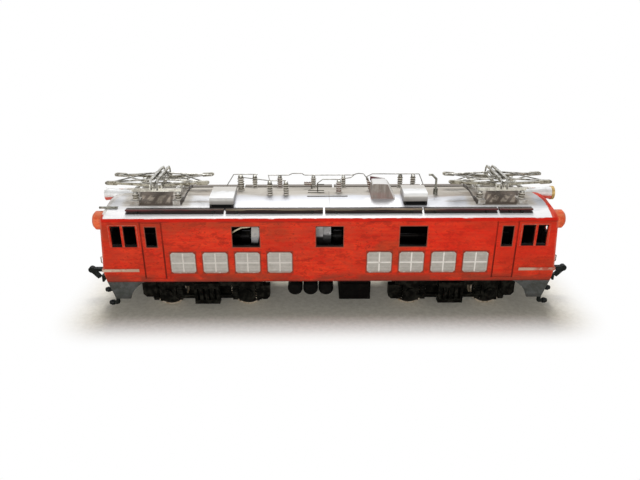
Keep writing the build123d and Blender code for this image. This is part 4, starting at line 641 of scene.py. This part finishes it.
def hood_paint():
    """Grey sheet of the quarter hood, with a maroon fin behind it."""
    coat = Coat("hood_paint", (138, 128, 122), 0.2)
    x, y, z = coat.axes
    rain = coat.clouds(1.3, (1, 1, 0.16))
    film = coat.clouds(3.2)
    coat.daub(rain.above(0.5, 0.14), 166, 160, 154)
    coat.daub(film.above(0.6, 0.08) * 0.4, 184, 178, 172)
    # Painted shade: pinker and darker low down on the hood
    rosy = z.below(46.6, 1.0) * film.above(0.42, 0.12)
    coat.daub(rosy * 0.5, 164, 132, 126)
    # A pale line along the curve of the near face
    edge = (x + (z - 44.0) * 0.45).above(24.75, 0.1) * y.below(-6.9, 0.03)
    coat.daub(edge * 0.8, 226, 224, 222)
    # The bent sheet over the top is silver, and the fin behind it is maroon
    sheet = y.above(-6.85, 0.04)
    coat.daub(sheet * z.above(49.3, 0.2), 240, 240, 240)
    coat.daub(sheet * x.above(22.4, 0.2) * 0.7, 206, 203, 200)
    fin = z.above(49.2, 0.1) * y.above(0.52, 0.02)
    coat.daub(fin, 84, 24, 36)
    rim = (z + (x - 16.1) * 0.17).above(50.82, 0.06)
    coat.daub(fin * rim, 196, 190, 188)
    return coat.lay(0.38 + 0.18 * rain, rain * 0.6 + film * 0.4, 0.06)


def rubber():
    """Moulded rubber with a dry bloom."""
    coat = Coat("hose_rubber", (13, 16, 15), 0.12)
    bloom = coat.clouds(1.5)
    coat.daub(bloom.above(0.52, 0.12) * 0.6, 40, 45, 42)
    return coat.lay(0.5 + 0.2 * bloom, bloom)


def lamp_glass():
    """Milky lamp glass with a warm depth."""
    coat = Coat("lamp_glass", (214, 206, 184), Coat_Weight=0.8, Coat_Roughness=0.04)
    ripple = coat.grain(0.7)
    coat.daub(ripple, 240, 236, 224)
    return coat.lay(0.1 + 0.08 * ripple, ripple, 0.03)


GRILLE_SILVER = grille_silver()
BOGIE_BLACK = soot_black("bogie_black", (6, 6, 5), (44, 43, 38), 0.42, 0.6)
ROD_GREY = soot_black("rod_grey", (104, 100, 92), (70, 64, 56), 0.4)
SHAFT_BLACK = plastic("shaft_black", (24, 22, 21), (48, 44, 40))
COUPLER_BLACK = plastic("coupler_black", (16, 19, 20), (36, 42, 42))
CABLE_CREAM = plastic("cable_cream", (226, 214, 188), (188, 172, 140))
NICKEL = metal("nickel", (186, 185, 180), (72, 68, 56), 0.3, 0.85, 1.8)
WARM_NICKEL = metal("warm_nickel", (166, 163, 152), (72, 64, 46), 0.32, 0.85, 1.4)
WIRE_METAL = metal("wire_metal", (150, 148, 142), (84, 78, 68), 0.34)
GREY_GLAZE = glaze("grey_glaze", (122, 114, 96), (56, 48, 36))
RED_GLAZE = glaze("red_glaze", (116, 78, 62), (66, 38, 30))
HOOD_PAINT = hood_paint()
HOSE_RUBBER = rubber()
LAMP_GLASS = lamp_glass()

# Each coat with the nodes it goes on; # stands for the number of each end
WORN_BY = (
    (red_enamel(), "body_shell"),
    (lamp_orange(), "corner_lamp_housings"),
    (roof_silver(), "roof"),
    (trim_silver(), "headlamp_casings box_ventilators"),
    (pad_silver(), "roof_pads"),
    (skirt_grey(), "end_skirts"),
    (stripe_cream(), "waist_stripes"),
    (frame_edge(), "window_frames"),
    (GRILLE_SILVER, "side_grilles"),
    (board_paint(), "running_boards"),
    (soot_black("frame_black", (5, 4, 4), (16, 15, 13), 0.45), "underframe equipment_box"),
    (soot_black("tank_black", (12, 12, 12), (26, 25, 24), 0.36, 0.4), "air_tanks"),
    (BOGIE_BLACK, "bogie_frame_# side_frames_#"),
    (wheel_metal(), "wheelset_#_inner wheelset_#_outer"),
    (motor_grey(), "motor_case motor_bearings"),
    (SHAFT_BLACK, "motor_armature worm_shaft_# cardan_shaft_#"),
    (plastic("tower_black", (12, 12, 12), (24, 23, 22)), "keeper_plate_# gear_tower_#"),
    (COUPLER_BLACK, "coupler_boxes coupler_# end_steps"),
    (metal("screw_steel", (172, 170, 166), (110, 104, 96), 0.34), "body_screws bogie_pivots"),
    (metal("rail_nickel", (226, 226, 222), (112, 106, 94), 0.3, 0.6, 2.6), "collector_base_#"),
    (NICKEL, "collector_head_# upper_arm_#a upper_arm_#b"),
    (WARM_NICKEL, "lower_arm_#a lower_arm_#b handrails"),
    (metal("brass", (196, 168, 112), (140, 106, 58), 0.3, 0.7, 1.2), "headlamp_bezels"),
    (LAMP_GLASS, "lamp_lenses"),
    (GREY_GLAZE, "roof_insulators"),
    (WIRE_METAL, "roof_wires"),
    (metal("pipe_metal", (150, 150, 142), (58, 52, 42), 0.34, 0.85, 1.6), "roof_pipes"),
    (ROD_GREY, "circuit_breaker"),
    (HOOD_PAINT, "quarter_hood"),
    (HOSE_RUBBER, "brake_hoses"),
)
for coat, names in WORN_BY:
    for node in {name.replace("#", end) for name in names.split() for end, _ in ENDS}:
        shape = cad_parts[node]
        if not shape.material_slots:
            shape.data.materials.append(coat.material)
        for holder in shape.material_slots:
            holder.material = coat.material


# Pieces
def fit(piece, slot, *coats, body="body"):
    """Gives a piece its coats and fixes it to a body."""
    for coat in coats:
        piece.data.materials.append(coat.material)
    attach(piece, body)
    return piece


def stand(name, data):
    """New object in the scene from a mesh, curve, light or camera."""
    made = bpy.data.objects.new(name, data)
    scene.collection.objects.link(made)
    return made


def from_shape(name, shape, angle=35):
    """Object from a worked-up bmesh in millimetres, smooth but for hard edges."""
    bmesh.ops.scale(shape, vec=(MM,) * 3, verts=shape.verts)
    bmesh.ops.recalc_face_normals(shape, faces=shape.faces)
    for face in shape.faces:
        face.smooth = True
    for edge in shape.edges:
        edge.smooth = len(edge.link_faces) == 2 and edge.calc_face_angle(0) < radians(angle)
    mesh = bpy.data.meshes.new(name)
    shape.to_mesh(mesh)
    shape.free()
    return stand(name, mesh)


def turn(shape, foot, direction, profile, sides=20, coats=None):
    """Turned form about a line from foot: profile gives (distance, radius)."""
    axis = Vector(direction).normalized()
    across = axis.orthogonal().normalized()
    over = axis.cross(across)
    rings = []
    for distance, radius in profile:
        middle = Vector(foot) + axis * distance
        if radius == 0:
            rings.append([shape.verts.new(middle)])
            continue
        ring = []
        for step in range(sides):
            angle = 2 * pi * step / sides
            spoke = cos(angle) * across + sin(angle) * over
            ring.append(shape.verts.new(middle + radius * spoke))
        rings.append(ring)
    for place, (near, far) in enumerate(zip(rings[:-1], rings[1:])):
        for step in range(sides):
            after = (step + 1) % sides
            corners = [near[step % len(near)], near[after % len(near)]]
            corners += [far[after % len(far)], far[step % len(far)]]
            face = shape.faces.new(list(dict.fromkeys(corners)))
            face.material_index = coats[place] if coats else 0


def round_curve(name, radius, resolution, steps):
    """Empty curve that will be a round rod or wire."""
    curve = bpy.data.curves.new(name, "CURVE")
    curve.dimensions = "3D"
    curve.bevel_depth = radius * MM
    curve.bevel_resolution = resolution
    curve.resolution_u = steps
    return curve


def add_line(curve, path, order):
    """Smooth line through a curve's new points, given in millimetres."""
    line = curve.splines.new("NURBS")
    line.points.add(len(path) - 1)
    for spot, place in zip(line.points, path):
        spot.co = (*(Vector(place) * MM), 1)
    line.order_u = order
    line.use_endpoint_u = True


def bent_line(name, runs, radius, bend, resolution=3):
    """Round wire along runs of points, with soft bends at the corners."""
    curve = round_curve(name, radius, resolution, 4)
    curve.use_fill_caps = True
    for points in runs:
        points = [Vector(point) for point in points]
        path = [points[0]]
        for before, corner, after in zip(points[:-2], points[1:-1], points[2:]):
            near = min(bend, (corner - before).length * 0.45)
            far = min(bend, (after - corner).length * 0.45)
            path.append(corner + (before - corner).normalized() * near)
            path.append(corner)
            path.append(corner + (after - corner).normalized() * far)
        path.append(points[-1])
        add_line(curve, path, 3)
    return stand(name, curve)


FAR_WIRE = 9.0
# Roof insulators: place, side, radius, height of the top, coat
INSULATORS = {
    "lead_in": (-34.6, 2.9, 1.35, 50.9, 0),
    "lead_in_far": (-29.7, FAR_WIRE, 1.1, 49.2, 0),
    "switch": (-22.8, -2.8, 1.15, 50.1, 0),
    "switch_far": (-19.6, FAR_WIRE, 1.15, 48.8, 1),
    "switch_near": (-16.6, -2.8, 1.15, 50.1, 0),
    "breaker_far": (-6.0, FAR_WIRE, 1.1, 48.8, 0),
    "breaker_near": (3.9, -0.1, 1.2, 49.7, 1),
    "breaker_end": (6.1, FAR_WIRE, 1.0, 48.8, 0),
    "bus_near": (29.1, FAR_WIRE, 1.15, 49.2, 0),
    "bus_end": (34.3, FAR_WIRE, 1.15, 49.2, 0),
}
# The collectors' feet
FOOT_SPREAD = 8
FOOT_RADIUS = 1.25
FOOT_HEIGHT = 3.0
PAD_TOP = roof_height(FOOT_SPREAD) + 0.8


def ribbed_insulator(shape, foot, radius, height, sheds, glaze_coat):
    """Upright insulator with drooping sheds on a stem and a turned metal cap."""
    cap, cap_coat = 0.8, 2
    stem = 0.7 * radius
    pitch = (height - cap) / sheds
    profile = [(0, 0), (0, radius * 0.92)]
    for shed in range(sheds):
        start = shed * pitch
        profile += [(start + 0.22 * pitch, radius), (start + 0.4 * pitch, radius * 0.97)]
        profile += [(start + 0.62 * pitch, stem * 1.12), (start + 0.95 * pitch, stem)]
    top = height - cap
    profile += [(top, stem * 1.05), (top + 0.1, stem * 1.05), (height - 0.25, stem)]
    profile += [(height - 0.1, stem * 0.75), (height, 0)]
    coats = [cap_coat] + [glaze_coat] * 4 * sheds + [cap_coat] * 5
    turn(shape, foot, (0, 0, 1), profile, coats=coats)


def roof_insulators():
    """The insulators of the roof's wires, and four short ones under each collector."""
    shape = bmesh.new()
    for x, y, radius, top, glaze_coat in INSULATORS.values():
        foot = roof_height(y) - 0.1
        ribbed_insulator(shape, (x, y, foot), radius, top - foot, 5, glaze_coat)
    spread = (-FOOT_SPREAD, FOOT_SPREAD)
    for end, ahead, side in [(end, x, y) for _, end in ENDS for x in spread for y in spread]:
        foot = (end * COLLECTOR_PLACE + ahead, side, PAD_TOP)
        ribbed_insulator(shape, foot, FOOT_RADIUS, FOOT_HEIGHT, 2, 3)
    piece = from_shape("ribbed_roof_insulators", shape, 50)
    fit(piece, "insulator_glaze", GREY_GLAZE, RED_GLAZE, NICKEL, GREY_GLAZE)
    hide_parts("roof_insulators")


def cap_of(name, ahead=0.0):
    """Where a wire lies on an insulator's cap, or level with it further along."""
    x, y, _, top, _ = INSULATORS[name]
    return (x + ahead, y, top + 0.16)


# Middle of the sloping cable head's tip, and the fork in the wires before it
CABLE_TOP = (14.57, 2.14, 50.14)
WIRE_FORK = (11.9, 6.0, 50.5)


def roof_wires():
    """Bare wires from end to end along the far side, with branches to the near side."""
    far, arch = FAR_WIRE, 49.66
    near_cap = cap_of("breaker_near")
    main = [cap_of("switch"), cap_of("switch_far", -4.6), cap_of("switch_far", 3.6)]
    main += [(-14.5, far, arch), (-10.7, far, arch), cap_of("breaker_far", -3.6)]
    main += [cap_of("breaker_end", 3.6), WIRE_FORK, (13.7, 3.0, 51.2), CABLE_TOP]
    bus = [CABLE_TOP, (17.3, 5.0, 50.6), cap_of("bus_near", -2.4), cap_of("bus_end", 2.4)]
    runs = [
        [(-41.7, far, roof_height(far)), cap_of("lead_in_far", -8.4), cap_of("lead_in_far", 1.2)],
        [(-33.8, 2.9, 49.9), cap_of("switch"), cap_of("switch_near")],
        main,
        [(-4.4, 0.2, 48.3), (-2.4, 0.2, 49.8), near_cap],
        [near_cap, (6.3, 0.5, 50.1), (8.6, 1.5, 50.1), (10.4, 4.0, 50.8), WIRE_FORK],
        bus + [(39.1, far, roof_height(far))],
    ]
    piece = fit(bent_line("bare_roof_wires", runs, 0.17, 0.5), "wire_metal", WIRE_METAL)
    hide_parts("roof_wires")


def breaker_gear():
    """Sloping cable head, level insulator, post with its arm and the earthing rods."""
    shape = bmesh.new()
    sheds = range(5)
    profile = [(0, 0), (0, 0.98), (0.5, 0.98), (0.7, 0.8)]
    for shed in sheds:
        base = 0.7 + 0.72 * shed
        wide = 0.94 - 0.07 * shed
        profile += [(base + 0.2, wide), (base + 0.36, wide * 0.95), (base + 0.66, wide * 0.66)]
    profile += [(4.6, 0.42), (4.75, 0.5), (5.3, 0.42), (5.72, 0.2), (5.75, 0)]
    foot = (16.8, 1.9, roof_height(1.9) - 0.1)
    turn(shape, foot, (-1.9, 0.2, 5.2), profile, 18, [0] * 19 + [1] * 4)
    profile = [(0, 0), (0.05, 0.42)]
    for shed in sheds:
        base = 0.1 + 0.64 * shed
        profile += [(base + 0.12, 0.78), (base + 0.3, 0.76), (base + 0.42, 0.48)]
    profile += [(3.4, 0.44), (3.55, 0.4), (3.55, 0)]
    turn(shape, (-9.8, 5.0, 46.6), (1, 0, 0), profile, 16, [0] * 16 + [1] * 3)
    gear = from_shape("breaker_insulators", shape, 50)
    fit(gear, "insulator_glaze", RED_GLAZE, WIRE_METAL)
    side, near = 5.0, -4.9
    rods = [
        [(-6.8, side, roof_height(side) - 0.1), (-6.8, side, 46.4)],
        [(-6.4, side, 46.6), (-6.25, side, 46.6)],
        [(-4.4, 0.2, 44.8), (-4.4, 0.2, 48.4)],
        [(-4.4, 0.2, 47.7), (-1.8, 0.2, 47.7)],
        [(-8.5, near, roof_height(near)), (7.1, near, roof_height(near))],
    ]
    rods += [[(x, y, roof_height(y)) for x in (-8.2, -1.8)] for y in (-1.4, 1.2)]
    bars = fit(bent_line("breaker_rods", rods, 0.24, 0.3), "wire_metal", ROD_GREY)
    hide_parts("circuit_breaker")
    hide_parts("circuit_breaker")


# The quarter hood's outline from end 1's side over the top to end 2's: X and height
HOOD_OUTLINE = (
    (15.9, 43.4), (15.95, 46.3), (16.5, 49.9), (16.8, 50.1), (21.4, 50.0), (22.0, 49.85),
    (22.6, 49.4), (23.1, 48.8), (23.7, 47.8), (24.2, 46.8), (24.7, 45.7), (25.1, 44.6),
    (25.25, 43.4),
)
HOOD_FIN = ((16.1, 49.2), (16.1, 51.0), (21.9, 50.0), (21.9, 49.2))


def quarter_hood():
    """Bent sheet hood with a near face, open at its back, and an upright fin behind it."""
    middle, foot = 20.5, 43.4
    inner = [(middle + (x - middle) * 0.88, foot + (z - foot) * 0.92) for x, z in HOOD_OUTLINE]
    shape = bmesh.new()
    rings = []
    for y, points in ((-7.0, HOOD_OUTLINE), (0.5, HOOD_OUTLINE), (0.5, inner), (-6.4, inner)):
        rings.append([shape.verts.new((x, y, z)) for x, z in points])
    for near, far in zip(rings[:-1], rings[1:]):
        for corners in zip(near[:-1], near[1:], far[1:], far[:-1]):
            shape.faces.new(corners)
    ends = [[ring[end] for ring in rings] for end in (0, -1)]
    under = [rings[0][0], rings[0][-1], rings[3][-1], rings[3][0]]
    for corners in (*ends, rings[0], rings[3], under):
        shape.faces.new(corners)
    near, far = [[shape.verts.new((x, y, z)) for x, z in HOOD_FIN] for y in (0.54, 1.0)]
    for corners in (*zip(near, near[1:] + near[:1], far[1:] + far[:1], far), near, far):
        shape.faces.new(corners)
    piece = fit(from_shape("quarter_hood_sheet", shape, 30), "maroon_paint", HOOD_PAINT)
    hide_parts("quarter_hood")


def inner_cable():
    """Cream lead that hangs from the roof inside the first side window."""
    run = [(-37.4, -14.8, 32.6), (-36.4, -14.9, 33.9), (-33.2, -15.0, 35.7)]
    run += [(-29.6, -15.0, 36.1), (-27.0, -14.6, 38.0)]
    fit(bent_line("inner_cable", [run], 0.3, 1.0), "hose_rubber", CABLE_CREAM)


def handrails():
    """A bent grab rail at each corner of the fronts."""
    aside, low, high = 13.4, 20.72, 23.28
    runs = []
    for _, end in ENDS:
        for y in (-aside, aside):
            front = front_place(y, 23.5)
            root, reach = end * (front - 0.4), end * (front + 1.65)
            runs.append([(root, y, low), (reach, y, low), (reach, y, high), (root, y, high)])
    piece = fit(bent_line("bent_handrails", runs, 0.2, 0.7, 4), "nickel", WARM_NICKEL)
    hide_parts("handrails")


# Brake hoses on each side of an end: side distance, lowest height and reach
HOSES = ((7.2, 6.0, 6.4), (15.0, 4.4, 3.4))


def brake_hoses():
    """Rubber hoses bent forward under the skirts, each with its collar and head."""
    runs = []
    shape = bmesh.new()
    collar = [(0, 0), (0, 1.0), (0.4, 1.0), (0.5, 0.85), (0.5, 0)]
    bell = [(0, 0), (0, 0.7), (0.2, 1.05), (1.1, 1.1), (1.4, 0.9), (1.7, 0.9)]
    bell += [(1.98, 0.65), (1.98, 0)]
    for end, side in [(end, side) for _, end in ENDS for side in (-1, 1)]:
        for across, toe, reach in HOSES:
            y = side * across
            x = end * (front_place(y, 14.5) - 2.4)
            head = x + end * (reach - 2.0)
            runs.append([(x, y, 7.25), (x, y, toe), (head + end * 0.4, y, toe)])
            turn(shape, (x, y, 7.4), (0, 0, -1), collar, 16)
            turn(shape, (head, y, toe), (end, 0, 0), bell, 16)
    hoses = fit(bent_line("bent_hoses", runs, 0.75, 0.9, 5), "hose_rubber", HOSE_RUBBER)
    heads = fit(from_shape("hose_heads", shape), "hose_rubber", COUPLER_BLACK)
    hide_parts("brake_hoses")
    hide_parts("brake_hoses")


def lamp_glasses():
    """Domed glasses in the headlamps and the corner lamps."""
    shape = bmesh.new()
    for _, end in ENDS:
        spots = [((end * 86.2, 0, 44.2), 2.02, 1.15)]
        spots += [((end * 86.8, side * 13.6, 38.4), 2.36, 0.95) for side in (-1, 1)]
        for foot, radius, rise in spots:
            rim = [(0, 0), (0, radius), (rise * 0.45, radius)]
            dome = []
            for step in range(1, 6):
                angle = pi / 2 * step / 6
                dome.append((rise * (0.45 + 0.55 * sin(angle)), radius * cos(angle)))
            turn(shape, foot, (end, 0, 0), rim + dome + [(rise, 0)], 28)
    piece = fit(from_shape("lamp_glasses", shape, 60), "lens", LAMP_GLASS)
    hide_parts("lamp_lenses")


def grille_slats():
    """Fine pressed slats across every pane of the side grilles."""
    shape = bmesh.new()
    rails, cross, count = 1.5, 0.5, 7
    pane_width = (2 * GRILLE_HALF_WIDTH - rails) / 2
    pane_height = (2 * GRILLE_HALF_HEIGHT - rails) / 2
    step = pane_height / count
    face = HALF_WIDTH + 0.14
    places = [end * (GRILLE_FIRST + place * GRILLE_PITCH) for end in (-1, 1) for place in range(4)]
    quarters = [(side, across, up) for side in (-1, 1) for across in (-1, 1) for up in (-1, 1)]
    for middle in places:
        for side, across, up in quarters:
            x = middle + across * (pane_width + cross) / 2
            low = GRILLE_HEIGHT + up * (pane_height + cross) / 2 - pane_height / 2
            left, right = x - pane_width / 2, x + pane_width / 2
            for z in [low + slat * step for slat in range(count)]:
                back, ridge = side * face, side * (face + 0.12)
                rise = ((back, z + 0.04), (ridge, z + step * 0.45), (back, z + step * 0.92))
                rows = [[shape.verts.new((end, *spot)) for end in (left, right)] for spot in rise]
                (a, b), (d, c), (f, e) = rows
                shape.faces.new((a, b, c, d))
                shape.faces.new((d, c, e, f))
                shape.faces.new((a, d, f))
                shape.faces.new((b, e, c))
    fit(from_shape("grille_slats", shape, 20), "grille_silver", GRILLE_SILVER)


def coil_springs():
    """Coil springs over the spring posts beside every axlebox."""
    turns, steps = 5, 10
    low, tall = 4.75, 5.6
    posts = [(offset, spring) for offset in (-1, 1) for spring in (-4.7, 4.7)]
    for name, end in ENDS:
        coils = f"axlebox_coils_{name}"
        curve = round_curve(coils, 0.22, 2, 3)
        for offset, spring in posts:
            x = end * BOGIE_PLACE + offset * WHEELBASE / 2 + spring
            for y in (-12.5, 12.5):
                path = []
                for number in range(turns * steps + 1):
                    angle = 2 * pi * number / steps
                    rise = low + tall * number / (turns * steps)
                    path.append((x + 1.36 * cos(angle), y + 1.3 * sin(angle), rise))
                add_line(curve, path, 4)
        fit(stand(coils, curve), "bogie_casting", BOGIE_BLACK, body=f"bogie_{name}")


roof_insulators()
roof_wires()
breaker_gear()
quarter_hood()
inner_cable()
handrails()
brake_hoses()
lamp_glasses()
grille_slats()
coil_springs()


# Floor, light, view: the lamps and the camera are placed in metres
WHITE = (1, 1, 1, 1)
LAMP_TINT = (1.0, 0.985, 0.96)
ROOM_LIGHT = 0.2


def studio_floor():
    """Pale card under the locomotive."""
    shape = bmesh.new()
    bmesh.ops.create_grid(shape, x_segments=2, y_segments=2, size=2500)
    floor = from_shape("floor", shape)
    card = Coat("floor_card", (0.76, 0.71, 0.58, 1), 0.05, Roughness=0.9)
    card.daub(card.clouds(2.0, roughness=0.7).above(0.5, 0.14), (0.88, 0.83, 0.7, 1))
    card.lay()
    # The card is seen as plain white but for the shadow round the locomotive
    seen = card.node("ShaderNodeLightPath", output="Is Camera Ray")
    beside = (abs(card.x) - HALF_LENGTH).higher_of(0)
    ahead = (abs(card.y) - HALF_WIDTH).higher_of(0)
    far = (beside * beside + ahead * ahead) ** 0.5
    share = seen * (0.02 + far.above(11.0, 12.5) * 0.98)
    white = card.node("ShaderNodeEmission", {}, {"Color": WHITE})
    lit = Reading(card, card.shader.outputs[0])
    both = card.node("ShaderNodeMixShader", {}, {0: share, 1: lit, 2: white})
    card.feed(card.nodes["Material Output"].inputs["Surface"], both)
    floor.data.materials.append(card.material)


def studio_world():
    """White surroundings that are seen bright but light the object softly."""
    world = bpy.data.worlds.new("studio")
    scene.world = world
    tree = Tree(world)
    glow = [{"Color": WHITE, "Strength": strength} for strength in (ROOM_LIGHT, 1.0)]
    room, bright = [tree.node("ShaderNodeBackground", {}, values) for values in glow]
    kinds = ("Is Camera Ray", "Is Glossy Ray", "Is Transmission Ray")
    rays = [tree.node("ShaderNodeLightPath", output=kind) for kind in kinds]
    either = rays[0].higher_of(rays[1]).higher_of(rays[2])
    mixed = tree.node("ShaderNodeMixShader", {}, {0: either, 1: room, 2: bright})
    tree.feed(tree.nodes["World Output"].inputs["Surface"], mixed)


def lamp(name, place, aim, size, power):
    """Square soft light, turned towards a point."""
    light = bpy.data.lights.new(name, "AREA")
    light.energy = power
    light.size = size
    light.color = LAMP_TINT
    stood = stand(name, light)
    stood.location = place
    stood.rotation_euler = (Vector(aim) - Vector(place)).to_track_quat("-Z", "Y").to_euler()


studio_floor()
studio_world()
lamp("ceiling_light", (0.0, 0.42, 0.8), (0, 0, 0.02), 0.4, 5.9)
lamp("near_light", (-0.1, -1.1, 0.22), (0, 0, 0.03), 0.6, 6.5)

camera = bpy.data.cameras.new("camera")
camera.sensor_fit = "HORIZONTAL"
camera.sensor_width = 36
camera.lens = 31.958
camera.clip_start = 0.01
camera.clip_end = 20
view = stand("camera", camera)
view.location = (-0.00557, -0.21251, 0.11411)
# Looks down by 22.91 degrees, turned a little to the right
view.rotation_euler = (radians(90 - 22.91), 0, radians(-0.57))
scene.camera = view
scene.view_settings.view_transform = "Standard"
